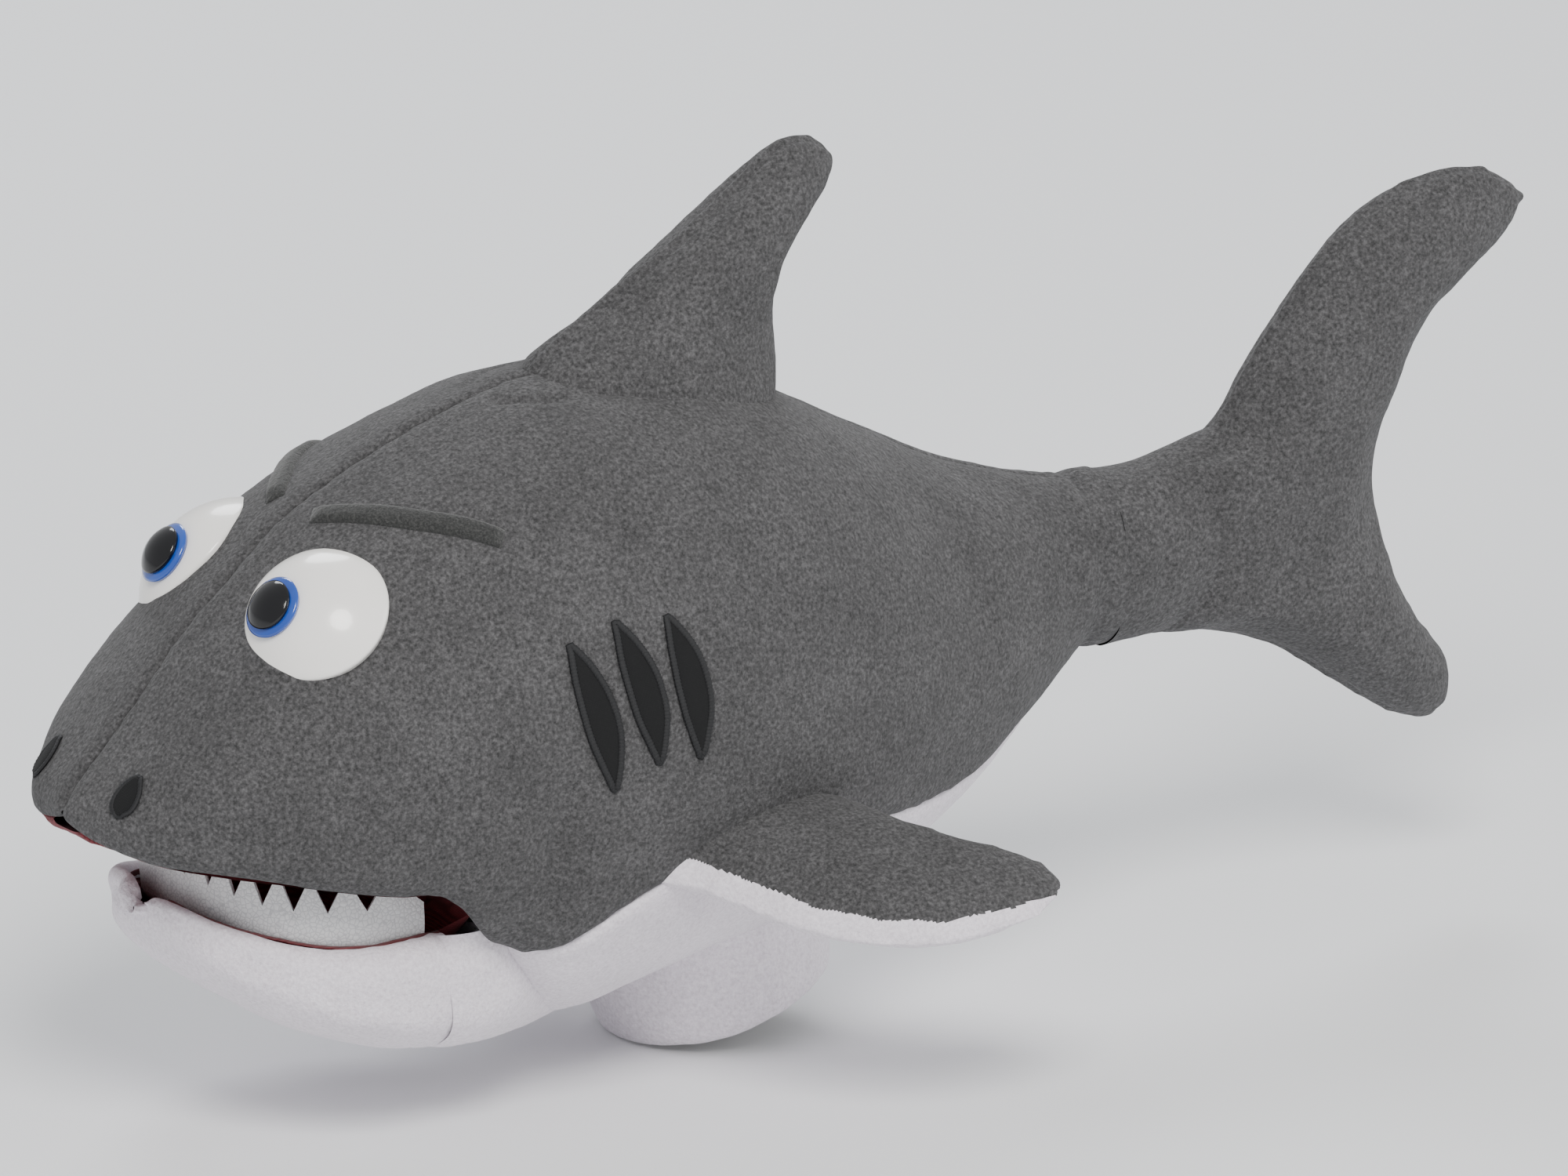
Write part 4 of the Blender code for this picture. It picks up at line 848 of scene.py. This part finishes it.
def tooth_line():
    """The strip inside the lower lip, its top edge cut into round-tipped teeth."""
    steps, levels = TOOTH_COUNT * 12, 7
    lip = JAW_BACK.z + 0.86 * JAW_DEPTH
    sheets = []
    for offset in (0.0, STRIP_THICK):
        grid = []
        for i in range(steps + 1):
            sweep = math.pi * (i / steps - 0.5) * 0.98
            ahead, across_way = math.cos(sweep), math.sin(sweep)
            reach = abs(ahead) ** 0.62
            half = JAW_WIDTH / 2 - JAW_LIP - STRIP_INSET - offset
            x = JAW_BACK.x - 0.05 * JAW_LENGTH - (0.80 * JAW_LENGTH - offset) * reach
            y = half * math.copysign(abs(across_way) ** 0.86, across_way)
            rise = 0.13 * JAW_DEPTH * max(ahead, 0.0) ** 3
            phase = (i / steps * TOOTH_COUNT) % 1.0
            tooth = 1.0 - abs(2.0 * phase - 1.0)
            tooth = tooth - 0.10 * max(tooth - 0.80, 0.0) / 0.20
            top = lip + rise + TOOTH_BASE - TOOTH_HEIGHT + TOOTH_HEIGHT * tooth
            bottom = lip + rise - STRIP_FOOT
            row = []
            for k in range(levels):
                t = k / (levels - 1)
                bow = 0.5 * math.sin(math.pi * t) + 0.35 * noise.noise(Vector((x / 9.0, y / 9.0, t * 2.0)))
                out = Vector((-reach, across_way, 0)).normalized()
                row.append(vec(x, y, bottom + (top - bottom) * t) + out * bow)
            grid.append(row)
        sheets.append(grid)
    points = [p for grid in sheets for row in grid for p in row]
    made = mesh_piece("teeth", points, slab(steps + 1, levels), LEATHER)
    made.data.set_sharp_from_angle(angle=math.radians(40))
    return made


teeth = tooth_line()
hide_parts("tooth_strip")
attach(teeth, "lower_jaw")


def surface_of(*pieces):
    """The outer surface of some pieces, in millimetres, for laying things on it."""
    points, faces = [], []
    for piece in pieces:
        start = len(points)
        points += [piece.matrix_world @ v.co / MM for v in piece.data.vertices]
        faces += [[start + k for k in p.vertices] for p in piece.data.polygons]
    return BVHTree.FromPolygons(points, faces)


skin = surface_of(*[bpy.data.objects["cover_" + w + "_side"] for w in ("left", "right")])


def turned(name, profile, place, look, body_name, replaced, sides=72):
    points = [
        place @ vec(r * math.cos(2 * math.pi * j / sides), r * math.sin(2 * math.pi * j / sides), h)
        for r, h in profile
        for j in range(sides)
    ]
    made = mesh_piece(name, points, tube(len(profile), sides), look)
    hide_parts(replaced)
    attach(made, body_name)
    return made


def place_on(point, normal):
    return Matrix.Translation(point) @ normal.to_track_quat("Z", "Y").to_matrix().to_4x4()


def cap(inside, outside, reach, bulge):
    """A round shell on a ball, thicker in the middle, as (radius, height) points."""
    shares = spread(0.03, 1.0, 14)
    profile = [(inside * math.sin(reach * s), inside * math.cos(reach * s)) for s in shares]
    for s in reversed(shares):
        ball = outside + bulge * (1 - s * s)
        profile.append((ball * math.sin(reach * s), ball * math.cos(reach * s)))
    return profile


# EYE_PROUD is the height of the dome's rim above its seat, in millimetres. The iris sits towards
# LOOK_AT, given in shares of the body, and would touch the dome's rim at an IRIS_REACH of 1.
EYE_PROUD, IRIS_REACH, LOOK_AT = 0.2, 0.88, (0.1584, 0.366, 0.800)
ball = (EYE_RADIUS**2 + EYE_RISE**2) / (2 * EYE_RISE)
for side, word in ((-1, "left"), (1, "right")):
    # The eye sits where its CAD solid does: its seat is one dome's height below the point of
    # that solid which is furthest along the normal.
    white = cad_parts[word + "_eye_white"]
    normal = vec(-0.58, side * 0.40, 0.71).normalized()  # the way the eye faces
    spots = [v.co / MM for v in white.data.vertices]
    crown = max(spots, key=lambda p: p.dot(normal))
    seat_point = crown - normal * (EYE_RISE + EYE_PROUD)
    seat = place_on(seat_point, normal)
    profile = [(0.3, -3.0), (EYE_RADIUS - 0.7, -3.0), (EYE_RADIUS, -0.6), (EYE_RADIUS, 0.0)]
    for s in spread(0.985, 0.01, 22):
        turn = math.asin(EYE_RADIUS / ball) * s
        profile.append((ball * math.sin(turn), ball * math.cos(turn) - ball + EYE_RISE + EYE_PROUD))
    turned("eye_" + word + "_white", profile, seat, EYE_WHITE, "body",
           word + "_eye_white")
    middle = seat_point - normal * (ball - EYE_RISE - EYE_PROUD)
    look_at = on_body(*LOOK_AT, side) - middle
    look_at = (look_at - normal * look_at.dot(normal)).normalized()
    lean = math.asin(IRIS_REACH * (EYE_RADIUS - IRIS_RADIUS) / ball)
    axis = (normal * math.cos(lean) + look_at * math.sin(lean)).normalized()
    at_ball = place_on(middle, axis)
    iris = cap(ball + 0.05, ball + 1.6, math.asin(IRIS_RADIUS / ball), 0.3)
    pupil = cap(ball + 1.7, ball + 2.9, math.asin(PUPIL_RADIUS / ball), 2.0)
    turned("eye_" + word + "_iris", iris, at_ball, EYE_BLUE, "body", word + "_iris")
    turned("eye_" + word + "_pupil", pupil, at_ball, EYE_BLACK, "body", word + "_pupil")


# ------------------------------------------------------------------- sewn trims


def laid(name, path, widths, look, replaced, thick, crown, across_count=9, steps=40):
    """A strip or leaf of fabric laid on the skin along a path, rounded to its edges."""
    spots = [Vector(smooth_between([tuple(p) for p in path], k)) for k in spread(0.0, len(path) - 1.0, steps)]
    wide = [smooth_between([(w,) for w in widths], k)[0] for k in spread(0.0, len(path) - 1.0, steps)]
    hit, facing, *_ = skin.find_nearest(spots[steps // 2])
    facing = facing if facing.dot(hit - on_body(0.4, 0, 0.5)) > 0 else -facing
    top, foot, rim = [], [], ([], [])
    for k, spot in enumerate(spots):
        ahead = spots[min(k + 1, steps - 1)] - spots[max(k - 1, 0)]
        sideways = facing.cross(ahead).normalized()
        row_top, row_foot = [], []
        for share in spread(-1.0, 1.0, across_count):
            above = spot + sideways * (share * max(wide[k], 0.3)) + facing * 40.0
            on, out, *_ = skin.ray_cast(above, -facing)
            if on is None:
                on, out, *_ = skin.find_nearest(above - facing * 40.0)
            out = out if out.dot(facing) > 0 else -out
            out = (out + facing).normalized()
            end = min(1.0, k / 2.5, (steps - 1 - k) / 2.5)
            lift = thick * (1 - crown * share**4) * max(end, 0.25)
            row_top.append(on + out * lift)
            row_foot.append(on - out * 0.8)
        top.append(row_top)
        foot.append(row_foot)
        rim[0].append(row_top[0])
        rim[1].append(row_top[-1])
    points = [p for row in top for p in row] + [p for row in foot for p in row]
    made = mesh_piece(name, points, slab(steps, across_count), look)
    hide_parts(replaced)
    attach(made, "body")
    return made, rim[0] + rim[1][::-1], facing


def satin_edge(name, loop, facing, radius=0.95, pitch=1.05, sides=8):
    """Satin stitches side by side round a closed outline, as one corded bead."""
    line = [loop[0]]
    for p in loop[1:] + loop[:1]:
        run = p - line[-1]
        while run.length > pitch / 3:
            line.append(line[-1] + run.normalized() * (pitch / 3))
            run = p - line[-1]
    points = []
    for k, p in enumerate(line):
        ahead = (line[(k + 1) % len(line)] - line[k - 1]).normalized()
        wide = facing.cross(ahead).normalized()
        high = ahead.cross(wide).normalized()
        bead = radius * (1.0 + 0.14 * math.cos(2 * math.pi * k / 3))
        points += [
            p + wide * (bead * 1.15 * math.cos(a)) + high * (bead * 0.75 * math.sin(a))
            for a in (2 * math.pi * j / sides for j in range(sides))
        ]
    last = (len(line) - 1) * sides
    faces = quads(len(line), sides, closed=True)
    faces += [(last + j, last + (j + 1) % sides, (j + 1) % sides, j) for j in range(sides)]
    made = mesh_piece(name, points, faces, THREAD)
    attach(made, "body")
    return made


GILL_BOW = 2.0

for side, word in ((-1, "left"), (1, "right")):
    brow = [(0.235, 0.115, 0.893), (0.262, 0.27, 0.905), (0.292, 0.42, 0.905), (0.325, 0.56, 0.905),
            (0.352, 0.65, 0.890)]
    brow = [on_body(x, y, z, side) for x, y, z in brow]
    laid("trim_" + word + "_brow", brow, [3.2, 3.7, 3.7, 3.5, 3.0], CHARCOAL,
         word + "_brow", 2.3, 0.75)
    nostril = [(0.040, 0.285, 0.562), (0.034, 0.285, 0.545), (0.030, 0.285, 0.525), (0.028, 0.285, 0.505),
               (0.029, 0.285, 0.490)]
    nostril = [on_body(x, y, z, side) for x, y, z in nostril]
    _, loop, facing = laid("trim_" + word + "_nostril", nostril, [0.8, 3.3, 4.1, 3.3, 0.8], BLACK,
                           word + "_nostril", 1.1, 0.4)
    satin_edge("stitch_" + word + "_nostril", loop, facing, 0.7)
    gills = (
        ("1", (0.384, 0.93, 0.737), (0.416, 0.98, 0.505)),
        ("2", (0.430, 0.93, 0.760), (0.460, 0.98, 0.535)),
        ("3", (0.481, 0.93, 0.755), (0.501, 0.98, 0.532)),
    )
    for number, start, end in gills:
        top, foot = on_body(*start, side), on_body(*end, side)
        slit = [
            top.lerp(foot, t) + vec(GILL_BOW * math.sin(math.pi * t), 0, 0)
            for t in (0, 0.2, 0.42, 0.65, 0.85, 1)
        ]
        _, loop, facing = laid("trim_" + word + "_gill_" + number, slit, [0.4, 3.4, 4.9, 4.7, 2.6, 0.4],
                               BLACK, word + "_gill_" + number, 0.9, 0.3)
        satin_edge("stitch_" + word + "_gill_" + number, loop, facing)

for name in ("glove_lining", "thumb_passage_lining", "thumb_pocket"):
    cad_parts[name].data.materials.clear()
    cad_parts[name].data.materials.append(COTTON)
for word in ("left", "right"):
    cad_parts[word + "_eye_washer"].data.materials.clear()
    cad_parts[word + "_eye_washer"].data.materials.append(WASHER)

# ------------------------------------------------------------- floor and camera

FLOOR_REACH, FLOOR_CLEARANCE = 4000, 0.5
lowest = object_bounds()[0].z
paper = pile("floor_paper", (0.84, 0.85, 0.86), (0.845, 0.855, 0.865), (0.85, 0.86, 0.87), 0, 0, 0.0)
corners = [(x * FLOOR_REACH, y * FLOOR_REACH, 0) for x, y in ((-1, -1), (1, -1), (1, 1), (-1, 1))]
floor = mesh_piece("floor", corners, [(0, 1, 2, 3)], paper)
floor.location.z = lowest - FLOOR_CLEARANCE * MM

world = bpy.data.worlds.new("Studio")
bpy.context.scene.world = world
world.use_nodes = True
world.node_tree.nodes["Background"].inputs["Color"].default_value = (0.90, 0.91, 0.93, 1.0)
world.node_tree.nodes["Background"].inputs["Strength"].default_value = 0.80


def softbox(name, place, target, size, power, colour):
    light = bpy.data.lights.new(name, "AREA")
    light.shape, light.size, light.energy, light.color = "DISK", size, power, colour
    made = bpy.data.objects.new(name, light)
    made.location = place
    made.rotation_euler = (Vector(target) - Vector(place)).to_track_quat("-Z", "Y").to_euler()
    bpy.context.scene.collection.objects.link(made)


centre = (0.0, 0.0, 0.10)
softbox("key", (-0.7, -1.3, 1.7), centre, 0.9, 37.0, (1.0, 0.98, 0.95))
softbox("fill", (1.4, -1.1, 0.7), centre, 1.2, 9.0, (1.0, 0.99, 0.98))
softbox("rim", (0.5, 1.3, 1.3), centre, 0.8, 14.0, (0.95, 0.97, 1.0))

# The picture's middle and its width at the origin's distance, in metres.
AIM_RIGHT, AIM_UP, PICTURE_WIDTH = 0.0207, 0.1166, 0.46
VIEW_AZIMUTH, VIEW_ELEVATION = math.radians(-32.0), math.radians(18.0)
back = Vector((
    math.sin(VIEW_AZIMUTH) * math.cos(VIEW_ELEVATION),
    -math.cos(VIEW_AZIMUTH) * math.cos(VIEW_ELEVATION),
    math.sin(VIEW_ELEVATION),
))
right = Vector((math.cos(VIEW_AZIMUTH), math.sin(VIEW_AZIMUTH), 0.0))
up = back.cross(right)
lens = bpy.data.cameras.new("camera")
lens.sensor_width, lens.lens = 36.0, 1000.0
lens.clip_start, lens.clip_end = 0.1, 100.0
camera = bpy.data.objects.new("camera", lens)
bpy.context.scene.collection.objects.link(camera)
distance = PICTURE_WIDTH * lens.lens / lens.sensor_width
camera.location = right * AIM_RIGHT + up * AIM_UP + back * distance
camera.rotation_mode = "QUATERNION"
camera.rotation_quaternion = (-back).to_track_quat("-Z", "Y")
bpy.context.scene.camera = camera
